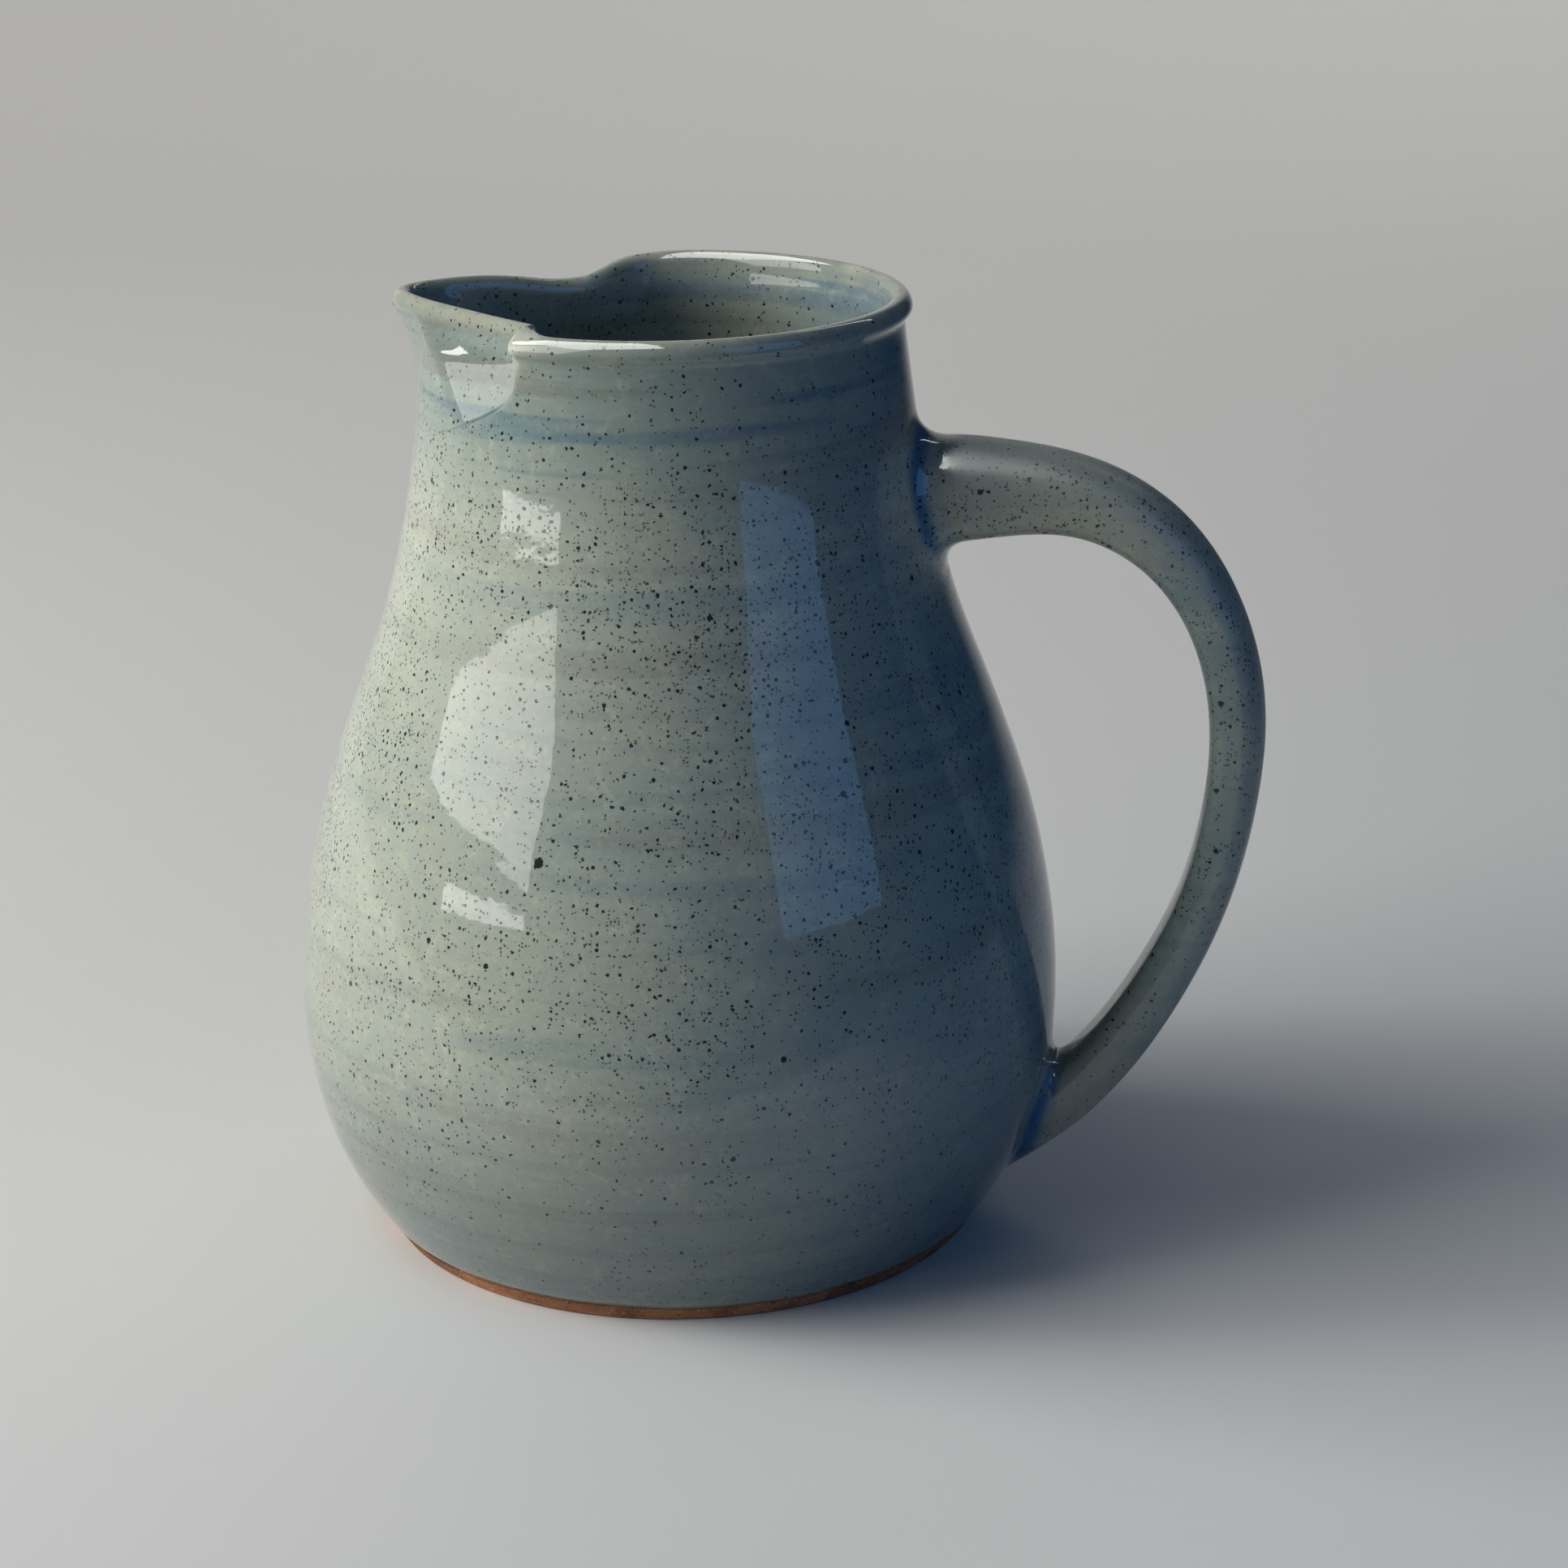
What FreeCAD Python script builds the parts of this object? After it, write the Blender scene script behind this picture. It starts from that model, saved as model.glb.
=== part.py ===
import FreeCAD, Part
import math
import os
import Sketcher

# Wheel-thrown stoneware pitcher: a pear-shaped thrown body, an applied beak spout, a pulled
# strap handle, a coil of clay worked into each joint of the handle, and one coat of glaze
# over them all.  Millimetres.  The origin is the centre of the foot on the table, +Z is up,
# the spout points to -X and the handle to +X.

SIZES = {
    # thrown body, a chain of tangent arcs from the foot to the lip
    "belly_radius": 84.2,
    "belly_height": 52.0,
    "belly_lower_arc": 84.0,
    "belly_upper_arc": 165.0,
    "foot_bevel": 1.2,
    "shoulder_slope": 21.3,
    "shoulder_length": 19.4,
    "neck_arc": 199.0,
    "groove_arc": 3.0,
    "groove_radius": 50.8,
    "lip_radius": 50.2,
    "lip_bead": 2.6,
    "rim_height": 208.0,
    "wall": 4.5,
    "floor": 7.0,
    "floor_fillet": 14.0,
    # opening cut in the rim for the spout, seen from the side
    "notch_reach": 15.0,
    "notch_step": 197.0,
    "notch_bottom": 176.0,
    # beak spout
    "beak_base": 168.0,
    "beak_top": 207.6,
    "beak_tip": 61.0,
    "throat_radius": 37.5,
    "throat_angle": 52.0,
    "spout_wall": 4.4,
    "spout_lip_bevel": 1.0,
    # coats of glaze, and the height that the outer one stops at
    "glaze": 0.4,
    "glaze_line": 4.0,
    # clay coils at the handle's joints
    "coil_width": 5.0,
    "coil_edge": 0.6,
    "coil_reach": 9.5,
    "coil_root": 4.0,
    # handle: the middle of its section, its thickness and its width, from neck to belly
    "handle_out_a": 53.0, "handle_up_a": 165.2, "handle_thick_a": 19.0, "handle_wide_a": 24.0,
    "handle_out_b": 72.0, "handle_up_b": 166.7, "handle_thick_b": 17.5, "handle_wide_b": 22.5,
    "handle_out_c": 88.2, "handle_up_c": 165.4, "handle_thick_c": 15.5, "handle_wide_c": 21.5,
    "handle_out_d": 104.3, "handle_up_d": 157.7, "handle_thick_d": 14.2, "handle_wide_d": 20.5,
    "handle_out_e": 117.0, "handle_up_e": 141.8, "handle_thick_e": 12.8, "handle_wide_e": 19.5,
    "handle_out_f": 122.8, "handle_up_f": 120.1, "handle_thick_f": 12.0, "handle_wide_f": 18.5,
    "handle_out_g": 122.0, "handle_up_g": 97.8, "handle_thick_g": 11.0, "handle_wide_g": 18.0,
    "handle_out_i": 115.6, "handle_up_i": 73.2, "handle_thick_i": 11.2, "handle_wide_i": 17.5,
    "handle_out_j": 104.7, "handle_up_j": 50.8, "handle_thick_j": 12.4, "handle_wide_j": 17.5,
    "handle_out_k": 91.0, "handle_up_k": 32.5, "handle_thick_k": 13.6, "handle_wide_k": 18.5,
    "handle_out_l": 77.5, "handle_up_l": 21.5, "handle_thick_l": 14.5, "handle_wide_l": 20.0,
}
HANDLE_STATIONS = "abcdefgijkl"
HALF_TURN = 180.0
FULL_TURN = 360.0
QUARTER_TURN = 90.0
VERTICAL_AXIS = -2

# the beak's rings: how fast it draws out, pinches in and narrows, and how it is divided
BEAK_FLARE = 1.8
THROAT_FLARE = 4.0
BEAK_TAPER = 2.3
TIP_ROUND = 8.0
SHOULDER_TURN = 18.0
RING_STEP = 6
BEAK_RINGS = 6
TOUCH = 0.01

doc = FreeCAD.newDocument("pitcher")


def make_sheet():
    """Put every driving dimension in the document's spreadsheet."""
    sheet = doc.addObject("Spreadsheet::Sheet", "Sizes")
    for row, (alias, value) in enumerate(SIZES.items(), start=1):
        sheet.set("A%d" % row, alias.replace("_", " "))
        sheet.set("B%d" % row, str(value))
        sheet.setAlias("B%d" % row, alias)
    doc.recompute()
    return sheet


sheet = make_sheet()


def size(alias):
    """The value of one driving dimension, as the spreadsheet holds it."""
    return float(sheet.get(alias))


def bind(obj, prop, expression):
    """Bind a property to the spreadsheet; words of the expression are cell names."""
    words = sorted((word for word in SIZES if word in expression), key=len, reverse=True)
    pieces = expression.split()
    bound = ["Sizes." + piece if piece in words else piece for piece in pieces]
    obj.setExpression(prop, " ".join(bound))


def origin_plane(body, role):
    """One of a body's own origin planes."""
    return next(item for item in body.Origin.OriginFeatures if item.Role == role)


def new_body(label):
    body = doc.addObject("PartDesign::Body", label)
    body.Label = label
    return body


def side_sketch(body, name):
    """A sketch on the body's XZ plane, so its own axes are the pitcher's X and Z."""
    sketch = body.newObject("Sketcher::SketchObject", name)
    sketch.AttachmentSupport = [(origin_plane(body, "XZ_Plane"), "")]
    sketch.MapMode = "FlatFace"
    return sketch


def flat(point):
    return FreeCAD.Vector(point[0], point[1], 0)


def add_line(sketch, start, end):
    return sketch.addGeometry(Part.LineSegment(flat(start), flat(end)), False)


def add_arc(sketch, centre, radius, start_angle, end_angle):
    """An arc that runs anticlockwise between two angles in degrees."""
    circle = Part.Circle(flat(centre), FreeCAD.Vector(0, 0, 1), radius)
    arc = Part.ArcOfCircle(circle, math.radians(start_angle), math.radians(end_angle))
    return sketch.addGeometry(arc, False)


def fix(sketch, kind, *where, value, expression):
    """Add one driving constraint and bind it to the spreadsheet."""
    index = sketch.addConstraint(Sketcher.Constraint(kind, *where, value))
    bind(sketch, "Constraints[%d]" % index, expression)


def join(sketch, kind, *where):
    sketch.addConstraint(Sketcher.Constraint(kind, *where))


def tangent_normal(centre_a, radius_a, centre_b, radius_b):
    """Angle of the normal of a rising line that has both circles on its right side."""
    across = centre_b[0] - centre_a[0]
    up = centre_b[1] - centre_a[1]
    bearing = math.degrees(math.atan2(up, across))
    swing = math.degrees(math.acos((radius_b - radius_a) / math.hypot(across, up)))
    return (bearing - swing) % FULL_TURN


def on_circle(centre, radius, angle):
    turn = math.radians(angle)
    return (centre[0] + radius * math.cos(turn), centre[1] + radius * math.sin(turn))


START, END, CENTRE = 1, 2, 3


class WallChain:
    """The belly and neck of one surface of the wall, thicker or thinner than the outside."""

    def __init__(self, sketch, grow, grow_words, foot_height, last_centre, last_radius):
        lower = size("belly_lower_arc") + grow
        upper = size("belly_upper_arc") + grow
        neck = size("neck_arc") - grow
        slope = size("shoulder_slope")
        length = size("shoulder_length")
        belly = (size("belly_radius") - size("belly_lower_arc"), size("belly_height"))
        high = (size("belly_radius") - size("belly_upper_arc"), size("belly_height"))
        foot_angle = math.degrees(math.asin((foot_height - belly[1]) / lower))
        shoulder_low = on_circle(high, upper, slope)
        turn = math.radians(slope)
        shoulder_high = (shoulder_low[0] - length * math.sin(turn),
                         shoulder_low[1] + length * math.cos(turn))
        neck_centre = on_circle(shoulder_high, neck, slope)
        normal = tangent_normal(neck_centre, neck, last_centre, last_radius)
        neck_high = on_circle(neck_centre, neck, normal + HALF_TURN)
        top = on_circle(last_centre, last_radius, normal + HALF_TURN)
        self.normal = normal
        self.foot = on_circle(belly, lower, foot_angle)

        self.low = add_arc(sketch, belly, lower, foot_angle, 0)
        self.high = add_arc(sketch, high, upper, 0, slope)
        self.shoulder = add_line(sketch, shoulder_low, shoulder_high)
        self.neck = add_arc(sketch, neck_centre, neck, normal + HALF_TURN, slope + HALF_TURN)
        self.taper = add_line(sketch, neck_high, top)

        join(sketch, "Tangent", self.low, END, self.high, START)
        join(sketch, "Tangent", self.high, END, self.shoulder, START)
        join(sketch, "Tangent", self.shoulder, END, self.neck, END)
        join(sketch, "Tangent", self.neck, START, self.taper, START)
        fix(sketch, "DistanceX", self.low, CENTRE, value=belly[0],
            expression="belly_radius - belly_lower_arc")
        fix(sketch, "DistanceY", self.low, CENTRE, value=belly[1], expression="belly_height")
        fix(sketch, "DistanceY", self.low, END, value=belly[1], expression="belly_height")
        fix(sketch, "Radius", self.low, value=lower, expression="belly_lower_arc" + grow_words)
        fix(sketch, "Radius", self.high, value=upper, expression="belly_upper_arc" + grow_words)
        shrink_words = grow_words.translate(str.maketrans("+-", "-+"))
        fix(sketch, "Radius", self.neck, value=neck, expression="neck_arc" + shrink_words)
        fix(sketch, "Distance", self.shoulder, value=length, expression="shoulder_length")
        fix(sketch, "Angle", self.shoulder, value=math.radians(90 + slope),
            expression="( 90 + shoulder_slope ) * 1deg")


def lip_centres():
    """Centres of the lip's rounded bead and of the groove under it, which touch."""
    bead = size("lip_bead")
    groove = size("groove_arc")
    bead_centre = (size("lip_radius"), size("rim_height") - bead)
    reach = size("groove_radius") + groove - bead_centre[0]
    drop = math.sqrt((bead + groove) ** 2 - reach ** 2)
    groove_centre = (bead_centre[0] + reach, bead_centre[1] - drop)
    return bead_centre, groove_centre


class Lip:
    """The groove under the lip and the lip's bead, as one surface or the glaze over it."""

    def __init__(self, sketch, chain, grow, grow_words, end_angle):
        bead = size("lip_bead") + grow
        groove = size("groove_arc") - grow
        bead_centre, groove_centre = lip_centres()
        meeting = math.degrees(math.atan2(bead_centre[1] - groove_centre[1],
                                          bead_centre[0] - groove_centre[0]))
        self.groove = add_arc(sketch, groove_centre, groove, meeting,
                              chain.normal + HALF_TURN)
        self.bead = add_arc(sketch, bead_centre, bead, meeting - HALF_TURN, end_angle)
        join(sketch, "Tangent", chain.taper, END, self.groove, END)
        join(sketch, "Tangent", self.groove, START, self.bead, START)
        shrink_words = grow_words.translate(str.maketrans("+-", "-+"))
        fix(sketch, "Radius", self.groove, value=groove, expression="groove_arc" + shrink_words)
        fix(sketch, "DistanceX", self.groove, CENTRE, value=groove_centre[0],
            expression="groove_radius + groove_arc")
        place_bead(sketch, self.bead, bead_centre, bead, grow_words)


def place_bead(sketch, arc, centre, radius, grow_words):
    """Fix the centre and the radius of the lip's rounded top."""
    fix(sketch, "Radius", arc, value=radius, expression="lip_bead" + grow_words)
    fix(sketch, "DistanceX", arc, CENTRE, value=centre[0], expression="lip_radius")
    fix(sketch, "DistanceY", arc, CENTRE, value=centre[1], expression="rim_height - lip_bead")


class Inside:
    """The inner surface, from the floor's middle up the wall, or the glaze over it."""

    def __init__(self, sketch, cover, cover_words):
        wall = size("wall") + cover
        floor = size("floor") + cover
        corner = size("floor_fillet") - cover
        bead_centre, _ = lip_centres()
        belly = (size("belly_radius") - size("belly_lower_arc"), size("belly_height"))
        lower = size("belly_lower_arc") - wall
        up = floor + corner
        reach = math.sqrt((lower - corner) ** 2 - (up - belly[1]) ** 2)
        touch = math.degrees(math.atan2(up - belly[1], reach))
        touch_height = on_circle(belly, lower, touch)[1]
        fillet_centre = (belly[0] + reach, up)
        shrink_words = cover_words.translate(str.maketrans("+-", "-+"))
        self.chain = WallChain(sketch, -wall, " - wall" + shrink_words, touch_height,
                               bead_centre, size("lip_bead") + cover)
        self.fillet = add_arc(sketch, fillet_centre, corner, -QUARTER_TURN, touch)
        self.floor = add_line(sketch, (fillet_centre[0], floor), (0, floor))
        join(sketch, "Tangent", self.chain.low, START, self.fillet, END)
        join(sketch, "Tangent", self.fillet, START, self.floor, START)
        join(sketch, "Horizontal", self.floor)
        join(sketch, "PointOnObject", self.floor, END, VERTICAL_AXIS)
        fix(sketch, "Radius", self.fillet, value=corner, expression="floor_fillet" + shrink_words)
        fix(sketch, "DistanceY", self.floor, END, value=floor, expression="floor" + cover_words)


def revolve(body, sketch, name):
    doc.recompute()
    turned = body.newObject("PartDesign::Revolution", name)
    turned.Profile = sketch
    turned.ReferenceAxis = (sketch, ["V_Axis"])
    turned.Angle = FULL_TURN
    doc.recompute()


def make_body():
    """The thrown vessel: one hollow turned form, with the rim cut open for the spout."""
    body = new_body("body")
    sketch = side_sketch(body, "thrown_profile")
    bevel = size("foot_bevel")
    groove_centre = lip_centres()[1]
    outside = WallChain(sketch, 0.0, "", bevel, groove_centre, size("groove_arc"))
    inside = Inside(sketch, 0.0, "")
    lip = Lip(sketch, outside, 0.0, "", inside.chain.normal + HALF_TURN)
    axis_line = add_line(sketch, (0, size("floor")), (0, 0))
    foot_line = add_line(sketch, (0, 0), (outside.foot[0] - bevel, 0))
    bevel_line = add_line(sketch, (outside.foot[0] - bevel, 0), outside.foot)

    join(sketch, "Tangent", lip.bead, END, inside.chain.taper, END)
    join(sketch, "Coincident", inside.floor, END, axis_line, START)
    join(sketch, "Coincident", axis_line, END, foot_line, START)
    join(sketch, "Coincident", foot_line, END, bevel_line, START)
    join(sketch, "Coincident", bevel_line, END, outside.low, START)
    join(sketch, "Coincident", axis_line, END, -1, START)
    join(sketch, "Horizontal", foot_line)
    fix(sketch, "DistanceY", outside.low, START, value=bevel, expression="foot_bevel")
    fix(sketch, "DistanceX", foot_line, END, bevel_line, END, value=bevel,
        expression="foot_bevel")
    revolve(body, sketch, "thrown_form")
    return body, sketch.Geometry[outside.taper]


def notch_corners():
    """The opening for the spout from the side: down, then slanting to a low point in front."""
    reach = size("notch_reach")
    front = size("belly_radius")
    bottom = size("notch_bottom")
    above = size("rim_height") + reach
    return [(-reach, above), (-reach, size("notch_step")), (-size("lip_radius"), bottom),
            (-front, bottom), (-front, above)]


def cut_notch(body):
    """Open the rim for the spout."""
    sketch = side_sketch(body, "notch_profile")
    corners = notch_corners()
    (back, above), (_, step), (neck_front, bottom), (front, _), _ = corners
    lines = [add_line(sketch, corner, corners[(i + 1) % len(corners)])
             for i, corner in enumerate(corners)]
    for i, line in enumerate(lines):
        join(sketch, "Coincident", line, END, lines[(i + 1) % len(lines)], START)
    for i, kind in ((0, "Vertical"), (2, "Horizontal"), (3, "Vertical"), (4, "Horizontal")):
        join(sketch, kind, lines[i])
    fix(sketch, "DistanceX", lines[1], START, value=back, expression="-1 * notch_reach")
    fix(sketch, "DistanceY", lines[1], START, value=step, expression="notch_step")
    fix(sketch, "DistanceX", lines[2], START, value=neck_front,
        expression="-1 * lip_radius")
    fix(sketch, "DistanceY", lines[2], START, value=bottom, expression="notch_bottom")
    fix(sketch, "DistanceX", lines[3], START, value=front, expression="-1 * belly_radius")
    fix(sketch, "DistanceY", lines[0], START, value=above,
        expression="rim_height + notch_reach")
    doc.recompute()

    notch = body.newObject("PartDesign::Pocket", "spout_notch")
    notch.Profile = sketch
    notch.Midplane = True
    bind(notch, "Length", "belly_radius * 2")
    doc.recompute()


def make_core():
    """The space inside the body's outer surface, filled: what is joined on stops at it."""
    core = new_body("body_core")
    sketch = side_sketch(core, "core_profile")
    bevel = size("foot_bevel")
    bead_centre, groove_centre = lip_centres()
    groove = size("groove_arc")
    outside = WallChain(sketch, 0.0, "", bevel, groove_centre, groove)
    top = on_circle(groove_centre, groove, outside.normal + HALF_TURN)
    top_line = add_line(sketch, top, (0, top[1]))
    axis_line = add_line(sketch, (0, top[1]), (0, bevel))
    foot_line = add_line(sketch, (0, bevel), outside.foot)
    join(sketch, "Coincident", outside.taper, END, top_line, START)
    join(sketch, "Coincident", top_line, END, axis_line, START)
    join(sketch, "Coincident", axis_line, END, foot_line, START)
    join(sketch, "Coincident", foot_line, END, outside.low, START)
    join(sketch, "Horizontal", top_line)
    join(sketch, "Vertical", axis_line)
    join(sketch, "Horizontal", foot_line)
    fix(sketch, "DistanceY", outside.low, START, value=bevel, expression="foot_bevel")
    join(sketch, "PointOnObject", axis_line, END, -2)
    fix(sketch, "DistanceX", outside.taper, END, value=top[0], expression="groove_radius")
    fix(sketch, "DistanceY", outside.taper, END, value=top[1], expression="notch_step")
    revolve(core, sketch, "core_form")
    return core


def handle_direction(index):
    """Unit vector along the handle at one station, from its neighbours."""
    last = len(HANDLE_STATIONS) - 1
    before = HANDLE_STATIONS[max(index - 1, 0)]
    after = HANDLE_STATIONS[min(index + 1, last)]
    step = FreeCAD.Vector(size("handle_out_" + after) - size("handle_out_" + before), 0,
                          size("handle_up_" + after) - size("handle_up_" + before))
    return step.normalize()


def make_handle(core):
    """The pulled handle: a loft of oval sections, its ends shaped to the body."""
    sections = []
    for index, station in enumerate(HANDLE_STATIONS):
        oval = doc.addObject("Part::Ellipse", "handle_section_" + station)
        bind(oval, "MajorRadius", "handle_wide_%s / 2" % station)
        bind(oval, "MinorRadius", "handle_thick_%s / 2" % station)
        across = FreeCAD.Vector(0, 1, 0)
        along = handle_direction(index)
        turn = FreeCAD.Rotation(across, FreeCAD.Vector(0, 0, 0), along, "ZXY")
        oval.Placement = FreeCAD.Placement(FreeCAD.Vector(0, 0, 0), turn)
        bind(oval, "Placement.Base.x", "handle_out_" + station)
        bind(oval, "Placement.Base.z", "handle_up_" + station)
        sections.append(oval)
    strap = doc.addObject("Part::Loft", "handle_strap")
    strap.Sections = sections
    strap.Solid = True
    handle = doc.addObject("Part::Cut", "handle")
    handle.Label = "handle"
    handle.Base = strap
    handle.Tool = core
    doc.recompute()
    return handle, strap


def make_coil(label, station, neighbour, core, strap):
    """A coil of clay worked round one joint: a flared collar less the body and the handle."""
    root = FreeCAD.Vector(size("handle_out_" + station), 0, size("handle_up_" + station))
    beyond = FreeCAD.Vector(size("handle_out_" + neighbour), 0, size("handle_up_" + neighbour))
    along = (beyond - root).normalize()
    turn = FreeCAD.Rotation(FreeCAD.Vector(0, 1, 0), FreeCAD.Vector(0, 0, 0), along, "ZXY")
    rings = []
    for name, distance, extra in (("root", -size("coil_root"), "coil_width"),
                                  ("edge", size("coil_reach"), "coil_edge")):
        ring = doc.addObject("Part::Ellipse", "%s_%s" % (label, name))
        bind(ring, "MajorRadius", "( handle_wide_%s + handle_wide_%s ) / 4 + %s"
             % (station, neighbour, extra))
        bind(ring, "MinorRadius", "( handle_thick_%s + handle_thick_%s ) / 4 + %s"
             % (station, neighbour, extra))
        ring.Placement = FreeCAD.Placement(root + along * distance, turn)
        rings.append(ring)
    collar = doc.addObject("Part::Loft", label + "_collar")
    collar.Sections = rings
    collar.Solid = True
    outside_body = doc.addObject("Part::Cut", label + "_outside_body")
    outside_body.Base = collar
    outside_body.Tool = core
    coil = doc.addObject("Part::Cut", label)
    coil.Label = label
    coil.Base = outside_body
    coil.Tool = strap
    doc.recompute()
    return coil


def blend(share):
    """Ease from 0 to 1 with level ends."""
    share = min(max(share, 0.0), 1.0)
    return share * share * (3 - 2 * share)


def beak_ring(height, inset, neck_line):
    """One closed level ring of the beak: round at the back, drawn out to a tip in front."""
    low, high = neck_line.StartPoint, neck_line.EndPoint
    lean = (low.x - high.x) / (high.y - low.y)
    neck = high.x + lean * (high.y - height)
    rise = max((height - size("beak_base")) / (size("beak_top") - size("beak_base")), 0.0)
    pull = (size("beak_tip") - neck) * rise ** BEAK_FLARE
    pinch = (neck - size("throat_radius")) * rise ** THROAT_FLARE
    throat = size("throat_angle")
    points = []
    for turn in range(0, int(FULL_TURN), RING_STEP):
        away = min(turn, FULL_TURN - turn)
        share = (math.hypot(away, TIP_ROUND) - TIP_ROUND) / (math.hypot(throat, TIP_ROUND) - TIP_ROUND)
        front = max(1 - share, 0.0) ** BEAK_TAPER
        hollow = 1 - blend((away - throat) / SHOULDER_TURN)
        radius = neck - pinch * hollow * (1 - front) + pull * front - inset
        bearing = math.radians(HALF_TURN + turn)
        points.append(FreeCAD.Vector(radius * math.cos(bearing),
                                     radius * math.sin(bearing), height))
    curve = Part.BSplineCurve()
    curve.interpolate(Points=points, PeriodicFlag=True)
    return Part.Wire(curve.toShape())


def opening_solid():
    """The space that the notch takes out of the rim."""
    corners = [FreeCAD.Vector(x, -size("belly_radius"), z) for x, z in notch_corners()]
    face = Part.Face(Part.makePolygon(corners + corners[:1]))
    return face.extrude(FreeCAD.Vector(0, 2 * size("belly_radius"), 0))


def beak_shape(neck_line, grow):
    """The beak spout, or the beak with a coat on it, cut to the opening in the rim."""
    base = size("beak_base")
    top = size("beak_top") + grow
    thick = size("spout_wall") + grow
    heights = [base + (top - base) * i / BEAK_RINGS for i in range(BEAK_RINGS + 1)]
    outer = Part.makeLoft([beak_ring(z, -grow, neck_line) for z in heights], True)
    heights = [base - thick] + heights[1:] + [top + thick]
    inner = Part.makeLoft([beak_ring(z, thick, neck_line) for z in heights], True)
    piece = outer.cut(inner).common(opening_solid())
    rim = [edge for edge in piece.Edges
           if edge.BoundBox.ZMin > top - TOUCH and isinstance(edge.Curve, Part.BSplineCurve)]
    return piece.makeChamfer(size("spout_lip_bevel"), rim).Solids[0]


def make_spout(neck_line):
    """The beak spout: a drawn-out collar of clay that fills the opening in the rim."""
    spout = doc.addObject("Part::Feature", "spout")
    spout.Label = "spout"
    spout.Shape = beak_shape(neck_line, 0.0)
    spout.Placement = FreeCAD.Placement()
    return spout


def make_wall_coat():
    """Glaze on the thrown body: up from the glaze line, over the lip and down to the floor."""
    coat = new_body("wall_coat")
    sketch = side_sketch(coat, "glaze_profile")
    glaze = size("glaze")
    low = size("glaze_line")
    floor = size("floor")
    groove_centre = lip_centres()[1]
    surfaces = []
    for cover, words in ((0.0, ""), (glaze, " + glaze")):
        outside = WallChain(sketch, cover, words, low, groove_centre,
                            size("groove_arc") - cover)
        inside = Inside(sketch, cover, words)
        lip = Lip(sketch, outside, cover, words, inside.chain.normal + HALF_TURN)
        join(sketch, "Tangent", lip.bead, END, inside.chain.taper, END)
        fix(sketch, "DistanceY", outside.low, START, value=low, expression="glaze_line")
        surfaces.append((outside, inside))
    (near, near_inside), (far, far_inside) = surfaces
    foot_line = add_line(sketch, near.foot, far.foot)
    axis_line = add_line(sketch, (0, floor), (0, floor + glaze))
    join(sketch, "Coincident", foot_line, START, near.low, START)
    join(sketch, "Coincident", foot_line, END, far.low, START)
    join(sketch, "Coincident", axis_line, START, near_inside.floor, END)
    join(sketch, "Coincident", axis_line, END, far_inside.floor, END)
    revolve(coat, sketch, "glaze_form")
    cut_notch(coat)
    return coat


def grown_loft(ovals, grow):
    """A loft through the same ovals, each a little larger."""
    wires = []
    for oval in ovals:
        ellipse = Part.Ellipse(FreeCAD.Vector(), oval.MajorRadius.Value + grow,
                               oval.MinorRadius.Value + grow)
        edge = ellipse.toShape()
        edge.Placement = oval.Placement
        wires.append(Part.Wire(edge))
    return Part.makeLoft(wires, True)


def make_glaze(wall_coat, neck_line, spout, core, strap, collars):
    """One coat of glaze over every clay piece, from the glaze line up."""
    glaze = size("glaze")
    clay = [strap.Shape] + [collar.Shape for collar in collars]
    covers = [grown_loft(piece.Sections, glaze) for piece in [strap] + collars]
    cover = covers[0].fuse(covers[1:])
    handle_coat = cover.cut(clay + [core.Shape])
    spout_coat = beak_shape(neck_line, glaze).cut(spout.Shape)
    body_coat = wall_coat.Shape.cut(cover)
    coat = doc.addObject("Part::Feature", "glaze_coat")
    coat.Label = "glaze_coat"
    coat.Shape = body_coat.fuse([handle_coat, spout_coat])
    coat.Placement = FreeCAD.Placement()
    return coat


body, neck_line = make_body()
cut_notch(body)
core = make_core()
handle, strap = make_handle(core)
upper_coil = make_coil("upper_handle_coil", "a", "b", core, strap)
lower_coil = make_coil("lower_handle_coil", "l", "k", core, strap)
spout = make_spout(neck_line)
wall_coat = make_wall_coat()
collars = [doc.upper_handle_coil_collar, doc.lower_handle_coil_collar]
glaze_coat = make_glaze(wall_coat, neck_line, spout, core, strap, collars)
doc.recompute()

pieces = [body, spout, handle, upper_coil, lower_coil, glaze_coat]

for item in doc.Objects:
    if "Invalid" in item.State or "Error" in item.State:
        raise RuntimeError("%s did not compute: %s" % (item.Label, item.State))
for piece in pieces:
    if piece.Shape.isNull() or not piece.Shape.isValid():
        raise RuntimeError("%s has no valid shape" % piece.Label)

os.makedirs("parts", exist_ok=True)
for piece in pieces:
    piece.Shape.exportStep("parts/%s.step" % piece.Label)
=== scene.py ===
"""Looks of the ceramic pitcher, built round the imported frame.

Every visible surface is a mesh made here: a thrown body, a beak spout with its seam, a pulled handle,
a collar round each handle joint, and the bare foot. All lengths are in millimetres of the full-size
pitcher, and MM turns them into the frame's metres. Angles round the pot are in degrees.
"""
import math

import bmesh
import bpy
import numpy as np
from mathutils import Matrix, Vector


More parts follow.
